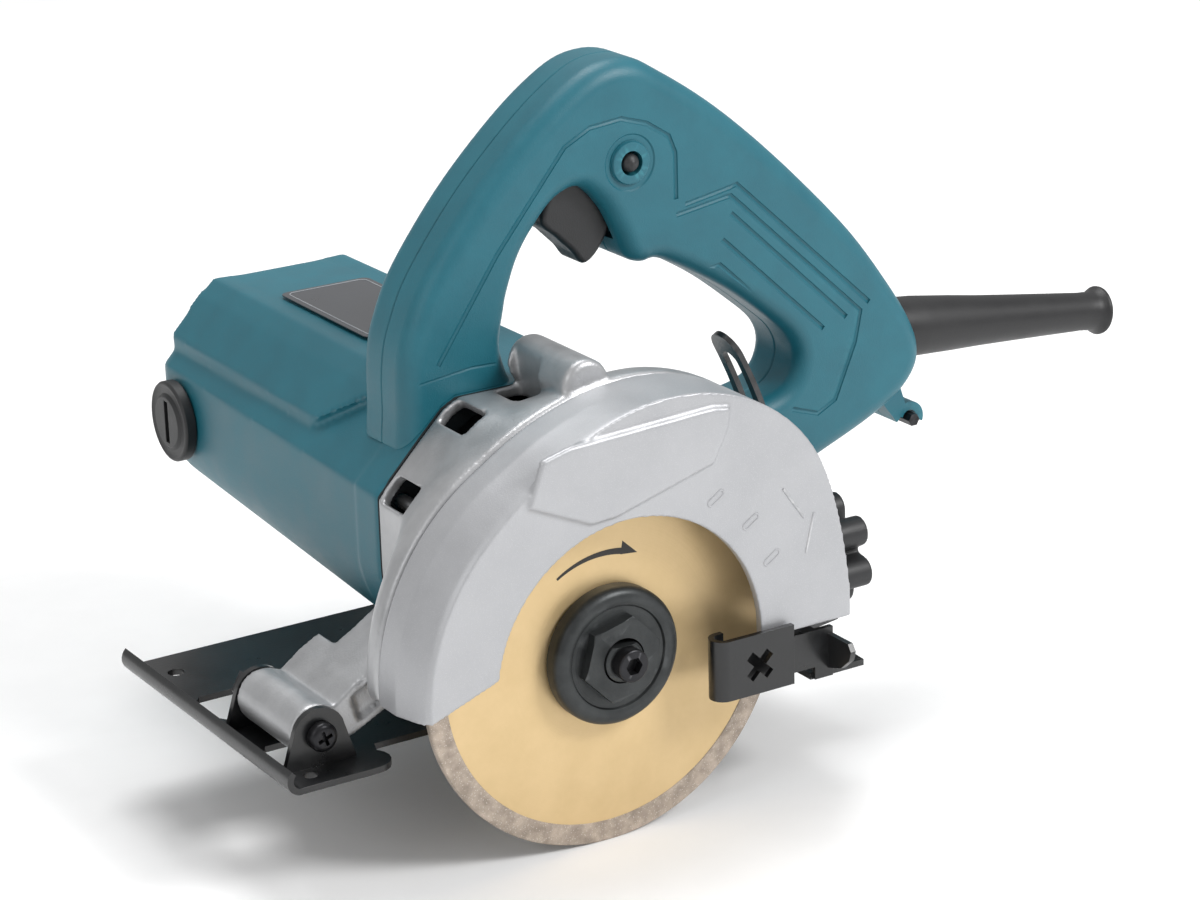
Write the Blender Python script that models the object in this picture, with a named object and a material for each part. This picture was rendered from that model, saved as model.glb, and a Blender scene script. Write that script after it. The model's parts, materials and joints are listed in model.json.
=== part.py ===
"""Handheld wet tile saw: a 110 mm diamond blade beside a cast gear case, a motor
housing that stands out sideways, and a D handle over both.

Lengths are in millimetres in the saw's own layout and become metres when an object
is made.  In the layout the spindle axis is x = z = 0 and the blade's plane is y = 0;
x runs to the rear, y towards the motor and z up.  The frame's origin lies on the
underside of the base plate.
"""
import bpy
import bmesh
from math import cos, pi, radians, sin, sqrt
from mathutils import Matrix, Vector

# ---------------------------------------------------------------- driving sizes
MM = 0.001
GAP = 0.3                      # running and fitting clearance between pieces
ORIGIN_Y = 60.0                # the frame's origin, from the blade's plane
CUT_DEPTH = 34.5               # blade below the sole at full depth
BLADE_R = 55.0
BORE_R = 10.0
SOLE_Z = CUT_DEPTH - BLADE_R   # underside of the base, from the spindle
PLATE_T = 1.8                  # base plate steel

GUARD_FACE_Y = -14.0           # outside face of the blade guard
GUARD_SEAM_Y = 8.0             # guard meets the gear case
GUARD_R = 64.5                 # round front part of the guard
GUARD_WALL = 2.6
ARCH_R = 40.8                  # opening in the guard round the flange

GEAR_MODULE = 1.0
GEAR_TEETH = 34
PINION_TEETH = 18
MOTOR_Z = GEAR_MODULE * (GEAR_TEETH + PINION_TEETH) / 2.0
CASE_END_Y = 39.7              # gear case meets the motor housing
HOUSING_Y = (40.0, 186.0)
HOUSING_HALF = (44.5, 40.0)    # half width at the gear end and at the back
HOUSING_DROP = (38.0, 27.0)    # depth of the round underside, likewise
HOUSING_TOP_Z = 63.7
SIDE_LOW_Z = 22.0
RIDGE_Z = 40.5

HANDLE_MID_Y = 54.0
HANDLE_HALF = 13.0
HANDLE_WALL = 3.0

PIVOT = (-77.7, -10.2)         # depth pivot, x and z
PIVOT_R = 7.5
GUIDE_R = 159.0                # depth guide's arc about the pivot
GUIDE_Y = 34.0
CLAMP_Z = -4.0
RIVET_X = 87.2                 # the rivet through the guide's foot
BRUSH_Y = 171.0

CORD_R = 4.0
GUARD_DIR = Vector((0.9933, 0.0, -0.1155)).normalized()
GUARD_ROOT = Vector((141.5, HANDLE_MID_Y, 50.0))


# ---------------------------------------------------------------- making helpers
def world(point):
    """A point of the layout in metres in the object's frame."""
    return Vector((point[0] * MM, (point[1] - ORIGIN_Y) * MM, (point[2] - SOLE_Z) * MM))


def material(name, colour, roughness, metallic=0.0):
    found = bpy.data.materials.get(name)
    if found:
        return found
    made = bpy.data.materials.new(name)
    made.use_nodes = True
    shader = made.node_tree.nodes["Principled BSDF"]
    shader.inputs["Base Color"].default_value = (*colour, 1.0)
    shader.inputs["Roughness"].default_value = roughness
    shader.inputs["Metallic"].default_value = metallic
    made.diffuse_color = (*colour, 1.0)
    return made


TEAL = material("teal_nylon", (0.012, 0.165, 0.205), 0.42)
CAST = material("cast_aluminium", (0.62, 0.63, 0.64), 0.38, 0.9)
SILVER = material("silver_paint", (0.70, 0.71, 0.73), 0.36, 0.25)
BLACK_STEEL = material("black_steel", (0.022, 0.023, 0.026), 0.40, 0.6)
STEEL = material("bright_steel", (0.55, 0.56, 0.58), 0.28, 1.0)
DARK_FLANGE = material("blackened_flange", (0.045, 0.048, 0.052), 0.42, 0.7)
GOLD = material("gold_lacquer", (0.72, 0.52, 0.26), 0.40, 0.5)
DARK_PLASTIC = material("dark_plastic", (0.035, 0.037, 0.042), 0.5)
BLACK_RUBBER = material("black_rubber", (0.015, 0.015, 0.016), 0.6)
COPPER = material("copper", (0.72, 0.32, 0.16), 0.35, 1.0)
LAMINATION = material("lamination_steel", (0.20, 0.20, 0.21), 0.5, 0.9)
CARBON = material("carbon", (0.02, 0.02, 0.02), 0.7)
LABEL = material("label_film", (0.03, 0.035, 0.045), 0.35)


def make_object(name, bm, finish, pivot=(0.0, 0.0, 0.0), smooth=True):
    """Mesh in layout millimetres to a placed object whose origin is the pivot."""
    bmesh.ops.remove_doubles(bm, verts=bm.verts, dist=0.0005)
    bmesh.ops.recalc_face_normals(bm, faces=bm.faces)
    for vertex in bm.verts:
        vertex.co = (vertex.co - Vector(pivot)) * MM
    mesh = bpy.data.meshes.new(name)
    bm.to_mesh(mesh)
    bm.free()
    mesh.materials.append(finish)
    made = bpy.data.objects.new(name, mesh)
    made.location = world(pivot)
    bpy.context.scene.collection.objects.link(made)
    if smooth:
        mesh.shade_smooth()
        mesh.set_sharp_from_angle(angle=radians(35))
    return made


def hide_tool(tool):
    tool.hide_render = True
    tool.display_type = 'WIRE'
    return tool


def boolean(target, tool, operation):
    step = target.modifiers.new(operation.lower(), 'BOOLEAN')
    step.operation = operation
    step.solver = 'EXACT'
    step.object = hide_tool(tool)
    return target


def cut(target, *tools):
    for tool in tools:
        boolean(target, tool, 'DIFFERENCE')
    return target


def add(target, *tools):
    for tool in tools:
        boolean(target, tool, 'UNION')
    return target


def soften(target, width, segments=2, angle=35):
    step = target.modifiers.new("soft_edges", 'BEVEL')
    step.width = width * MM
    step.segments = segments
    step.limit_method = 'ANGLE'
    step.angle_limit = radians(angle)
    return target


def axis_matrix(axis, centre):
    turn = Vector((0, 0, 1)).rotation_difference(Vector(axis)).to_matrix().to_4x4()
    return Matrix.Translation(Vector(centre)) @ turn


AXES = {'x': (1, 0, 0), 'y': (0, 1, 0), 'z': (0, 0, 1)}


def turned(profile, axis, centre, segments=48, tube=False):
    """Turn (distance along the axis, radius) points round the axis."""
    direction = AXES[axis] if isinstance(axis, str) else axis
    place = axis_matrix(direction, centre)
    bm = bmesh.new()
    rings = []
    for along, radius in profile:
        if radius < 1e-6:
            rings.append([bm.verts.new(place @ Vector((0, 0, along)))])
            continue
        ring = []
        for i in range(segments):
            angle = 2 * pi * i / segments
            point = Vector((radius * cos(angle), radius * sin(angle), along))
            ring.append(bm.verts.new(place @ point))
        rings.append(ring)
    pairs = list(zip(rings, rings[1:]))
    if tube:
        pairs.append((rings[-1], rings[0]))
    for low, high in pairs:
        for i in range(segments):
            j = (i + 1) % segments
            if len(low) == 1:
                bm.faces.new((low[0], high[i], high[j]))
            elif len(high) == 1:
                bm.faces.new((low[i], low[j], high[0]))
            else:
                bm.faces.new((low[i], low[j], high[j], high[i]))
    return bm


def solid_of_turn(spans):
    """(distance, radius) points closed on the axis at both ends."""
    return [(spans[0][0], 0.0)] + list(spans) + [(spans[-1][0], 0.0)]


def loft(rings):
    bm = bmesh.new()
    rows = [[bm.verts.new(point) for point in ring] for ring in rings]
    count = len(rows[0])
    for low, high in zip(rows, rows[1:]):
        for i in range(count):
            j = (i + 1) % count
            bm.faces.new((low[i], low[j], high[j], high[i]))
    bm.faces.new(rows[0])
    bm.faces.new(list(reversed(rows[-1])))
    return bm


def lift(outline, axis, at):
    if axis == 'y':
        return [(a, at, b) for a, b in outline]
    if axis == 'z':
        return [(a, b, at) for a, b in outline]
    return [(at, a, b) for a, b in outline]


def slab(outline, axis, start, end):
    """Extrude a flat outline: (x, z) along y, (x, y) along z or (y, z) along x."""
    return loft([lift(outline, axis, start), lift(outline, axis, end)])


def box(x0, x1, y0, y1, z0, z1):
    return slab([(x0, z0), (x1, z0), (x1, z1), (x0, z1)], 'y', y0, y1)


def arc(centre, radius, start, end, steps):
    """Points on a circle from one angle to another, in degrees."""
    points = []
    for i in range(steps + 1):
        angle = radians(start + (end - start) * i / steps)
        points.append((centre[0] + radius * cos(angle), centre[1] + radius * sin(angle)))
    return points


def smooth_loop(points, steps):
    """A closed curve through the points."""
    curve = []
    count = len(points)
    for i in range(count):
        before, start, end, after = (Vector(points[(i + k) % count]) for k in (-1, 0, 1, 2))
        for k in range(steps):
            t = k / steps
            bend = (2 * start + (end - before) * t
                    + (2 * before - 5 * start + 4 * end - after) * t * t
                    + (3 * start - before - 3 * end + after) * t ** 3) * 0.5
            curve.append((bend.x, bend.y))
    return curve


def grown(outline, distance):
    """Move a closed outline out of itself by a distance (inwards when negative)."""
    count = len(outline)
    area = sum(outline[i][0] * outline[(i + 1) % count][1]
               - outline[(i + 1) % count][0] * outline[i][1] for i in range(count))
    side = 1.0 if area > 0 else -1.0
    moved = []
    for i in range(count):
        before, after = Vector(outline[i - 1]), Vector(outline[(i + 1) % count])
        along = (after - before).normalized()
        moved.append((outline[i][0] + along.y * distance * side,
                      outline[i][1] - along.x * distance * side))
    return moved


def rounded_side(outline, flat_y, face_y, radius, steps=3):
    """Rings from the flat parting plane to an outer face with a rounded edge."""
    toward = 1.0 if face_y > flat_y else -1.0
    rings = [lift(outline, 'y', flat_y)]
    for i in range(steps + 1):
        angle = pi / 2 * i / steps
        depth = face_y - toward * radius * (1 - sin(angle))
        rings.append(lift(grown(outline, -radius * (1 - cos(angle))), 'y', depth))
    return rings


def pipe(name, points, radius, finish, resolution=3):
    """A round tube of layout points as a curve with filled ends."""
    curve = bpy.data.curves.new(name, 'CURVE')
    curve.dimensions = '3D'
    curve.bevel_depth = radius * MM
    curve.bevel_resolution = resolution
    curve.use_fill_caps = True
    spline = curve.splines.new('POLY')
    spline.points.add(len(points) - 1)
    for slot, point in zip(spline.points, points):
        slot.co = (*world(point), 1.0)
    curve.materials.append(finish)
    made = bpy.data.objects.new(name, curve)
    bpy.context.scene.collection.objects.link(made)
    return made


def mix(pair, t):
    return pair[0] + (pair[1] - pair[0]) * t


# ---------------------------------------------------------------- shared outlines
def housing_section(y, growth=0.0):
    """The motor housing's outline at one distance from the blade."""
    t = (y - HOUSING_Y[0]) / (HOUSING_Y[1] - HOUSING_Y[0])
    half, drop = mix(HOUSING_HALF, t), mix(HOUSING_DROP, t)
    under = [(half * cos(a), SIDE_LOW_Z + drop * sin(a))
             for a in (pi + pi * i / 16 for i in range(17))]
    right = [(half, RIDGE_Z), (half - 14.0, RIDGE_Z + 14.5), (half - 21.0, HOUSING_TOP_Z - 2.0),
             (half - 25.0, HOUSING_TOP_Z)]
    left = [(-x, z) for x, z in reversed(right)]
    return grown(under + right + left, growth)


def guard_radius(degrees, pinch):
    """Guard outline about the spindle; pinch draws the front round to the face's size."""
    table = ((-2, 70.4), (12, 70.4), (23, 72.0), (32, 74.3), (40, 76.3), (50, 77.0),
             (60, 76.4), (70, 75.0), (84, 71.5), (100, 67.6), (118, GUARD_R), (190, GUARD_R))
    for (a0, r0), (a1, r1) in zip(table, table[1:]):
        if degrees <= a1:
            radius = r0 + (r1 - r0) * (degrees - a0) / (a1 - a0)
            break
    draw = min(1.0, max(0.0, (degrees - 84.0) / 45.0))
    return radius - 3.2 * pinch * draw


def guard_outline(pinch, shrink=0.0, foot=-2.4):
    """Round top from the rear foot over to the front foot, closed along the bottom."""
    points = []
    steps = 38
    for i in range(steps + 1):
        degrees = -2.0 + 184.2 * i / steps
        radius = guard_radius(degrees, pinch) - shrink
        points.append((radius * cos(radians(degrees)), radius * sin(radians(degrees))))
    if foot < -10.0:
        points += [(points[-1][0], foot), (points[0][0], foot)]
    return points


HANDLE_OUTER = smooth_loop([
    (-33.5, 46), (-34.5, 60), (-33.8, 74), (-31, 84), (-25, 96), (-11, 114), (4, 129),
    (17.5, 139.8), (29, 145.8), (40.5, 146.2), (50.5, 141), (65, 131.2), (80, 118.9),
    (96.7, 103.2), (113.5, 85.6), (126.5, 68.4), (134, 56.5), (137, 48), (136.0, 41), (130, 34),
    (119, 28),
    (104, 22), (85, 15), (62, 10), (40, 8), (22, 14), (4, 34), (-16, 44)], 2)
HANDLE_INNER = smooth_loop([
    (-3, 72), (-1.5, 84), (0.5, 91), (3.5, 98), (8, 104.5), (15, 111.5), (23, 113.5),
    (30, 107), (34.5, 98.5), (37.5, 91.5), (42, 89.2), (48, 89.2), (60, 83), (71, 76),
    (82, 67.3), (90, 60), (93, 53.5), (91.5, 47), (86.5, 42.8), (76, 41), (60, 42), (42, 45),
    (22, 52), (4, 58)], 2)
SCREW_SPOTS = ((-16.0, 92.0), (60.0, 122.0), (121.0, 60.0), (98.0, 36.0))


# ---------------------------------------------------------------- blade and spindle
def diamond_blade():
    profile = [(-1.1, BORE_R), (-1.1, BLADE_R), (1.1, BLADE_R), (1.1, BORE_R)]
    return make_object("diamond_blade", turned(profile, 'y', (0, 0, 0), 72, tube=True), GOLD)


def inner_flange():
    profile = [(-0.7, 6.3), (-0.7, 9.7), (1.45, 9.7), (1.45, 18.0), (3.0, 18.0), (6.6, 13.0),
               (6.6, 6.3)]
    return make_object("inner_flange", turned(profile, 'y', (0, 0, 0), 32, tube=True), DARK_FLANGE)


def outer_flange():
    """A cupped washer with a raised hexagon for the spanner."""
    profile = [(-1.45, 6.3), (-1.45, 19.3), (-4.6, 19.3), (-7.4, 16.4), (-7.4, 14.2),
               (-6.4, 13.8), (-6.4, 6.3)]
    body = make_object("outer_flange", turned(profile, 'y', (0, 0, 0), 40, tube=True), DARK_FLANGE)
    hexagon = slab(arc((0, 0), 12.2, 14, 314, 5), 'y', -9.6, -5.9)
    hole = turned(solid_of_turn([(-11, 6.3), (0, 6.3)]), 'y', (0, 0, 0), 40)
    add(body, make_object("tool_flange_hexagon", hexagon, DARK_FLANGE, smooth=False))
    return cut(body, make_object("tool_flange_bore", hole, DARK_FLANGE))


def spindle():
    """Shaft with a threaded nose, a shoulder for the flange and seats for two bearings."""
    profile = solid_of_turn([(-10.6, 5.2), (-10.0, 5.8), (0.0, 5.8), (6.9, 5.8), (6.9, 7.6),
                             (9.9, 7.6), (9.9, 5.9), (32.6, 5.9), (32.6, 3.9), (39.2, 3.9)])
    shaft = make_object("spindle", turned(profile, 'y', (0, 0, 0), 24), STEEL)
    thread_hole = turned(solid_of_turn([(-12, 3.2), (6.0, 3.2)]), 'y', (0, 0, 0), 16)
    flat = box(-8, 8, -12, -3.2, 4.5, 9)
    return cut(shaft, make_object("tool_spindle_hole", thread_hole, STEEL),
               make_object("tool_spindle_flat", flat, STEEL, smooth=False))


def arbor_bolt():
    """Socket-head bolt down the middle of the spindle."""
    profile = solid_of_turn([(-14.6, 4.2), (-14.2, 4.6), (-10.9, 4.6), (-10.9, 2.9), (4.5, 2.9)])
    bolt = make_object("arbor_bolt", turned(profile, 'y', (0, 0, 0), 28), BLACK_STEEL)
    socket = slab(arc((0, 0), 2.5, 0, 300, 5), 'y', -15.5, -12.0)
    return cut(bolt, make_object("tool_bolt_socket", socket, BLACK_STEEL, smooth=False))


def bearing(name, axis_z, start, end, bore, outer):
    """A sealed ball bearing as its outside envelope with chamfered outer corners."""
    corner = 0.4
    profile = [(start, bore), (start, outer - corner), (start + corner, outer),
               (end - corner, outer), (end, outer - corner), (end, bore)]
    return make_object(name, turned(profile, 'y', (0, 0, axis_z), 28, tube=True), STEEL)


def gear_outline(teeth, centre_z, tooth_up):
    """Tooth outline; tooth_up points a tooth at +z, otherwise a tooth space at -z."""
    pitch = GEAR_MODULE * teeth / 2.0
    tip, root = pitch + 0.85 * GEAR_MODULE, pitch - 1.2 * GEAR_MODULE
    quarter = pi / (2 * teeth)
    first = pi / 2 if tooth_up else -pi / 2 + pi / teeth
    points = []
    for tooth in range(teeth):
        middle = first + 2 * pi * tooth / teeth
        for radius, half in ((root, -1.20), (tip, -0.42), (tip, 0.42), (root, 1.20)):
            angle = middle + half * quarter
            points.append((radius * cos(angle), centre_z + radius * sin(angle)))
    return points


def drive_gear():
    gear = make_object("drive_gear", slab(gear_outline(GEAR_TEETH, 0.0, True), 'y', 21.5, 31.0),
                       STEEL, smooth=False)
    bore = turned(solid_of_turn([(20, 6.2), (33, 6.2)]), 'y', (0, 0, 0), 20)
    return cut(gear, make_object("tool_gear_bore", bore, STEEL))


def motor_pinion():
    centre = (0, 0, MOTOR_Z)
    gear = make_object("motor_pinion",
                       slab(gear_outline(PINION_TEETH, MOTOR_Z, False), 'y', 21.0, 31.5),
                       STEEL, pivot=centre, smooth=False)
    bore = turned(solid_of_turn([(20, 4.3), (33, 4.3)]), 'y', centre, 16)
    return cut(gear, make_object("tool_pinion_bore", bore, STEEL))


# ---------------------------------------------------------------- gear case
def case_section(y, wall=0.0):
    """From the guard's round outline to the motor housing's outline, less a wall."""
    t = min(1.0, max(0.0, (y - 13.0) / 17.0))
    ease = t * t * (3 - 2 * t)
    centre = Vector((0.0, 24.0))
    guard, housing = guard_outline(0.0), housing_section(HOUSING_Y[0], 0.4)
    ring = []
    steps = 48
    for i in range(steps):
        angle = 2 * pi * i / steps
        ray = Vector((cos(angle), sin(angle)))
        near, far = reach(guard, centre, ray), reach(housing, centre, ray)
        point = centre + ray * (near + (far - near) * ease - wall)
        ring.append((point.x, y, point.y))
    return ring


def reach(outline, centre, ray):
    """How far a ray from inside a closed outline runs before it leaves."""
    best = 0.0
    for i in range(len(outline)):
        a = Vector(outline[i]) - centre
        b = Vector(outline[(i + 1) % len(outline)]) - centre
        edge = b - a
        across = ray.x * edge.y - ray.y * edge.x
        if abs(across) < 1e-9:
            continue
        along = (a.x * edge.y - a.y * edge.x) / across
        share = (a.x * ray.y - a.y * ray.x) / across
        if along > 0 and -1e-9 <= share <= 1 + 1e-9:
            best = max(best, along)
    return best


HOUSING_SCREWS = ((-37.0, 38.0), (37.0, 38.0), (-33.5, 6.0), (33.5, 6.0))
GUARD_SCREWS = ((84.0, 64.5), (50.0, 69.5))


def guard_screw_spot(degrees, radius):
    return (radius * cos(radians(degrees)), radius * sin(radians(degrees)))


def gear_housing():
    """One casting: front plate, gear case, fan outlet, pivot arm and clamp lug."""
    stations = (GUARD_SEAM_Y + GAP, 13.0, 18.5, 24.5, 30.0, CASE_END_Y)
    body = make_object("gear_housing", loft([case_section(y) for y in stations]), CAST)
    air_space = [case_section(y, 3.4) for y in (14.5, 24.5, 30.0, CASE_END_Y + 1)]
    cut(body, make_object("tool_air_space", loft(air_space), CAST))
    gear_wall = turned(solid_of_turn([(9.0, 20.3), (CASE_END_Y - 0.2, 20.3)]), 'y', (0, 0, 0), 44)
    pinion_wall = turned(solid_of_turn([(9.0, 16.6), (CASE_END_Y - 0.2, 16.6)]), 'y',
                         (0, 0, MOTOR_Z), 28)
    add(body, make_object("tool_gear_wall", gear_wall, CAST),
        make_object("tool_pinion_wall", pinion_wall, CAST))
    arm = slab([(-44, 13), (-55, 6.0), (-66, 0.0), (-72, -4.4)]
               + arc(PIVOT, PIVOT_R, 62, 285, 12) + [(-66, -13.5), (-52, -6.5), (-40, -2.5)],
               'y', 17.6, 48.7)
    arm_relief = box(-60, -36, CASE_END_Y - 0.1, 50, -30, 40)
    arm_solid = make_object("tool_arm", arm, CAST)
    cut(arm_solid, make_object("tool_arm_relief", arm_relief, CAST, smooth=False))
    lug = box(33, 79.6, GUIDE_Y - 6, GUIDE_Y + 5.5, CLAMP_Z - 8, CLAMP_Z + 8)
    boss = turned(solid_of_turn([(9.5, 6.2), (10.3, 7.0), (CASE_END_Y, 7.0)]), 'y', (3.0, 0, 70.4), 24)
    add(body, arm_solid, make_object("tool_lug", lug, CAST, smooth=False),
        make_object("tool_boss", boss, CAST))
    gear_space = turned(solid_of_turn([(7.0, 7.9), (9.0, 7.9), (9.0, 9.6), (10.2, 9.6),
                                       (10.2, 16.15), (19.7, 16.15), (19.7, 18.5),
                                       (CASE_END_Y + 1, 18.5)]), 'y', (0, 0, 0), 36)
    pinion_space = turned(solid_of_turn([(19.7, 10.6), (32.5, 10.6), (32.5, 14.4),
                                         (CASE_END_Y + 1, 14.4)]), 'y', (0, 0, MOTOR_Z), 28)
    cut(body, make_object("tool_gear_space", gear_space, CAST),
        make_object("tool_pinion_space", pinion_space, CAST))
    for index, degrees in enumerate((96.0, 117.0, 147.0)):
        middle = Vector((0.0, 16.0))
        out = Vector((cos(radians(degrees)), sin(radians(degrees))))
        side = Vector((-out.y, out.x)) * 4.2
        inner, outer = middle + out * 34, middle + out * 62
        window = [tuple(inner - side), tuple(outer - side), tuple(outer + side), tuple(inner + side)]
        cut(body, make_object(f"tool_vent_{index}", slab(window, 'y', 24.0, 38.0), CAST,
                              smooth=False))
    pivot_bore = turned(solid_of_turn([(15, 3.4), (52, 3.4)]), 'y', (PIVOT[0], 0, PIVOT[1]), 20)
    stud_bore = turned(solid_of_turn([(62, 3.3), (82, 3.3)]), 'x', (0, GUIDE_Y, CLAMP_Z), 20)
    cut(body, make_object("tool_pivot_bore", pivot_bore, CAST),
        make_object("tool_stud_bore", stud_bore, CAST))
    for index, (x, z) in enumerate(HOUSING_SCREWS):
        bore = turned(solid_of_turn([(7, 4.4), (16.2, 4.4), (16.2, 2.35), (42, 2.35)]), 'y',
                      (x, 0, z), 12)
        cut(body, make_object(f"tool_case_bore_{index}", bore, CAST))
    for index, spot in enumerate(GUARD_SCREWS):
        x, z = guard_screw_spot(*spot)
        bore = turned(solid_of_turn([(7, 2.3), (12.4, 2.3), (12.4, 4.4), (32, 4.4)]), 'y',
                      (x, 0, z), 12)
        cut(body, make_object(f"tool_guard_bore_{index}", bore, CAST))
    return body


def bearing_plate():
    """Aluminium plate that closes the gear space and carries the inner bearings."""
    profile = solid_of_turn([(33.0, 18.2), (CASE_END_Y, 18.2)])
    plate = make_object("bearing_plate", turned(profile, 'y', (0, 0, 0), 24), CAST)
    lobe = turned(solid_of_turn([(33.0, 14.1), (CASE_END_Y, 14.1)]), 'y', (0, 0, MOTOR_Z), 22)
    rear = turned(solid_of_turn([(32, 5.0), (34.3, 5.0), (34.3, 8.2), (41, 8.2)]), 'y', (0, 0, 0), 24)
    front = turned(solid_of_turn([(32, 5.5), (34.3, 5.5), (34.3, 9.7), (41, 9.7)]), 'y',
                   (0, 0, MOTOR_Z), 24)
    add(plate, make_object("tool_plate_lobe", lobe, CAST))
    return cut(plate, make_object("tool_plate_rear", rear, CAST),
               make_object("tool_plate_front", front, CAST))


# ---------------------------------------------------------------- blade guard
def blade_guard():
    """Cast cover round the upper blade, open below and arched round the flange."""
    outside = [lift(guard_outline(p), 'y', y)
               for y, p in ((GUARD_SEAM_Y, 0.0), (-2.0, 0.0), (-13.2, 1.0), (GUARD_FACE_Y, 1.25))]
    body = make_object("blade_guard", loft(outside), SILVER)
    inside = [lift(guard_outline(p, GUARD_WALL, -30.0), 'y', y)
              for y, p in ((GUARD_SEAM_Y + 1, 0.0), (-2.0, 0.0), (-11.2, 1.0))]
    badge = [(-30.5, 50.5), (-26.2, 62.5), (-18, 64.6), (26.0, 66.5), (31.5, 65.5),
             (30.5, 59.5), (26.0, 51.0), (-4.5, 42.6), (-12.1, 42.2)]
    add(body, make_object("tool_badge", slab(badge, 'y', GUARD_FACE_Y - 0.9, GUARD_FACE_Y + 0.6),
                          SILVER, smooth=False))
    cut(body, make_object("tool_guard_inside", loft(inside), SILVER))
    arch = arc((0, 0), ARCH_R, 0, 172, 36)
    opening = arch + [(-62.5, -2.4), (-62.5, -20), (41.5, -20)]
    cut(body, make_object("tool_arch", slab(opening, 'y', GUARD_FACE_Y - 3, -9.0), SILVER))
    for index, (degrees, radius) in enumerate(GUARD_SCREWS):
        x, z = guard_screw_spot(degrees, radius)
        post = turned(solid_of_turn([(-12.5, 4.6), (GUARD_SEAM_Y, 4.6)]), 'y', (x, 0, z), 14)
        bore = turned(solid_of_turn([(-4.0, 2.3), (GUARD_SEAM_Y + 1, 2.3)]), 'y', (x, 0, z), 12)
        add(body, make_object(f"tool_post_{index}", post, SILVER))
        cut(body, make_object(f"tool_post_bore_{index}", bore, SILVER))
    return body


def screw(name, x, z, head, end, head_r, shaft_r, finish, axis_sign=1):
    """A pan-head screw along y; axis_sign points its tip."""
    length = abs(end - head)
    profile = solid_of_turn([(0.0, head_r * 0.75), (head_r * 0.25, head_r),
                             (head_r * 0.75, head_r), (head_r * 0.75, shaft_r),
                             (length, shaft_r)])
    return make_object(name, turned(profile, (0, axis_sign, 0), (x, head, z), 14), finish)


# ---------------------------------------------------------------- motor housing
def housing_shoulder(side):
    """The square block on each upper corner behind the handle."""
    outline = [(37.6, 40.0), (38.6, 49.0), (28.5, 60.0), (22.5, HOUSING_TOP_Z + 0.6), (8, 63.0),
               (8, 52), (25, 40)]
    outline = [(x * side, z) for x, z in outline]
    small = [(x * 0.955, z - 0.2) for x, z in outline]
    return loft([lift(outline, 'y', 88.0), lift(small, 'y', HOUSING_Y[1] - 5.0)])


def motor_housing():
    """Hollow moulding round the motor, open at the gear end."""
    last = HOUSING_Y[1]
    stations = [HOUSING_Y[0], last - 6.0]
    rings = [lift(housing_section(y), 'y', y) for y in stations]
    for growth, inset in ((-0.6, 3.4), (-1.9, 1.3), (-4.6, 0.0)):
        rings.append(lift(housing_section(last, growth), 'y', last - inset))
    body = make_object("motor_housing", loft(rings), TEAL)
    add(body, make_object("tool_shoulder_front", housing_shoulder(-1), TEAL, smooth=False),
        make_object("tool_shoulder_rear", housing_shoulder(1), TEAL, smooth=False))
    space = turned(solid_of_turn([(39.0, 34.0), (62.0, 34.0), (62.0, 30.9), (119.0, 30.9),
                                  (119.0, 26.0), (177.0, 26.0), (177.0, 9.7), (183.1, 9.7)]),
                   'y', (0, 0, MOTOR_Z), 40)
    cut(body, make_object("tool_motor_space", space, TEAL))
    for index, side in enumerate((-1, 1)):
        across = turned(solid_of_turn([(20, 6.4), (60, 6.4)]), (side, 0, 0), (0, BRUSH_Y, MOTOR_Z), 20)
        cut(body, make_object(f"tool_brush_bore_{index}", across, TEAL))
    for index, (x, z) in enumerate(HOUSING_SCREWS):
        bore = turned(solid_of_turn([(38, 2.35), (60, 2.35)]), 'y', (x, 0, z), 12)
        cut(body, make_object(f"tool_housing_bore_{index}", bore, TEAL))
    for index in range(6):
        angle = radians(60 * index + 30)
        x, z = 18.0 * cos(angle), MOTOR_Z + 18.0 * sin(angle)
        slot = box(x - 5.0, x + 5.0, 175, last + 2, z - 1.3, z + 1.3)
        cut(body, make_object(f"tool_intake_{index}", slot, TEAL, smooth=False))
    return body


def stator_core():
    """Laminated ring with the two pole spaces that the field coils fill."""
    profile = [(66.0, 18.2), (66.0, 30.5), (116.0, 30.5), (116.0, 18.2)]
    core = make_object("stator_core", turned(profile, 'y', (0, 0, MOTOR_Z), 40, tube=True), LAMINATION)
    for index, side in enumerate((-1, 1)):
        space = box(min(side * 16, side * 26.5), max(side * 16, side * 26.5), 64, 118,
                    MOTOR_Z - 7, MOTOR_Z + 7)
        cut(core, make_object(f"tool_pole_{index}", space, LAMINATION, smooth=False))
    return core


def armature_core():
    """Slotted laminations with the winding's end turns at both ends."""
    outline = []
    slots = 12
    for index in range(slots):
        middle = 360.0 * index / slots
        outline += arc((0, MOTOR_Z), 16.6, middle - 11.5, middle + 11.5, 2)
        outline += arc((0, MOTOR_Z), 13.4, middle + 12.5, middle + 17.5, 1)
    core = make_object("armature_core", slab(outline, 'y', 68.0, 114.0), LAMINATION)
    turns = turned([(60.0, 4.4), (60.0, 11.0), (63.0, 14.8),
                    (120.0, 14.8), (124.0, 10.5), (124.0, 4.4)], 'y', (0, 0, MOTOR_Z), 24, tube=True)
    add(core, make_object("tool_end_turns", turns, COPPER))
    bore = turned(solid_of_turn([(58, 4.35), (126, 4.35)]), 'y', (0, 0, MOTOR_Z), 16)
    return cut(core, make_object("tool_core_bore", bore, LAMINATION))


def commutator():
    profile = [(162.5, 4.35), (162.5, 9.0), (163.2, 11.2), (176.0, 11.2), (176.5, 9.0),
               (176.5, 4.35)]
    return make_object("commutator", turned(profile, 'y', (0, 0, MOTOR_Z), 28, tube=True), COPPER)


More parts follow.
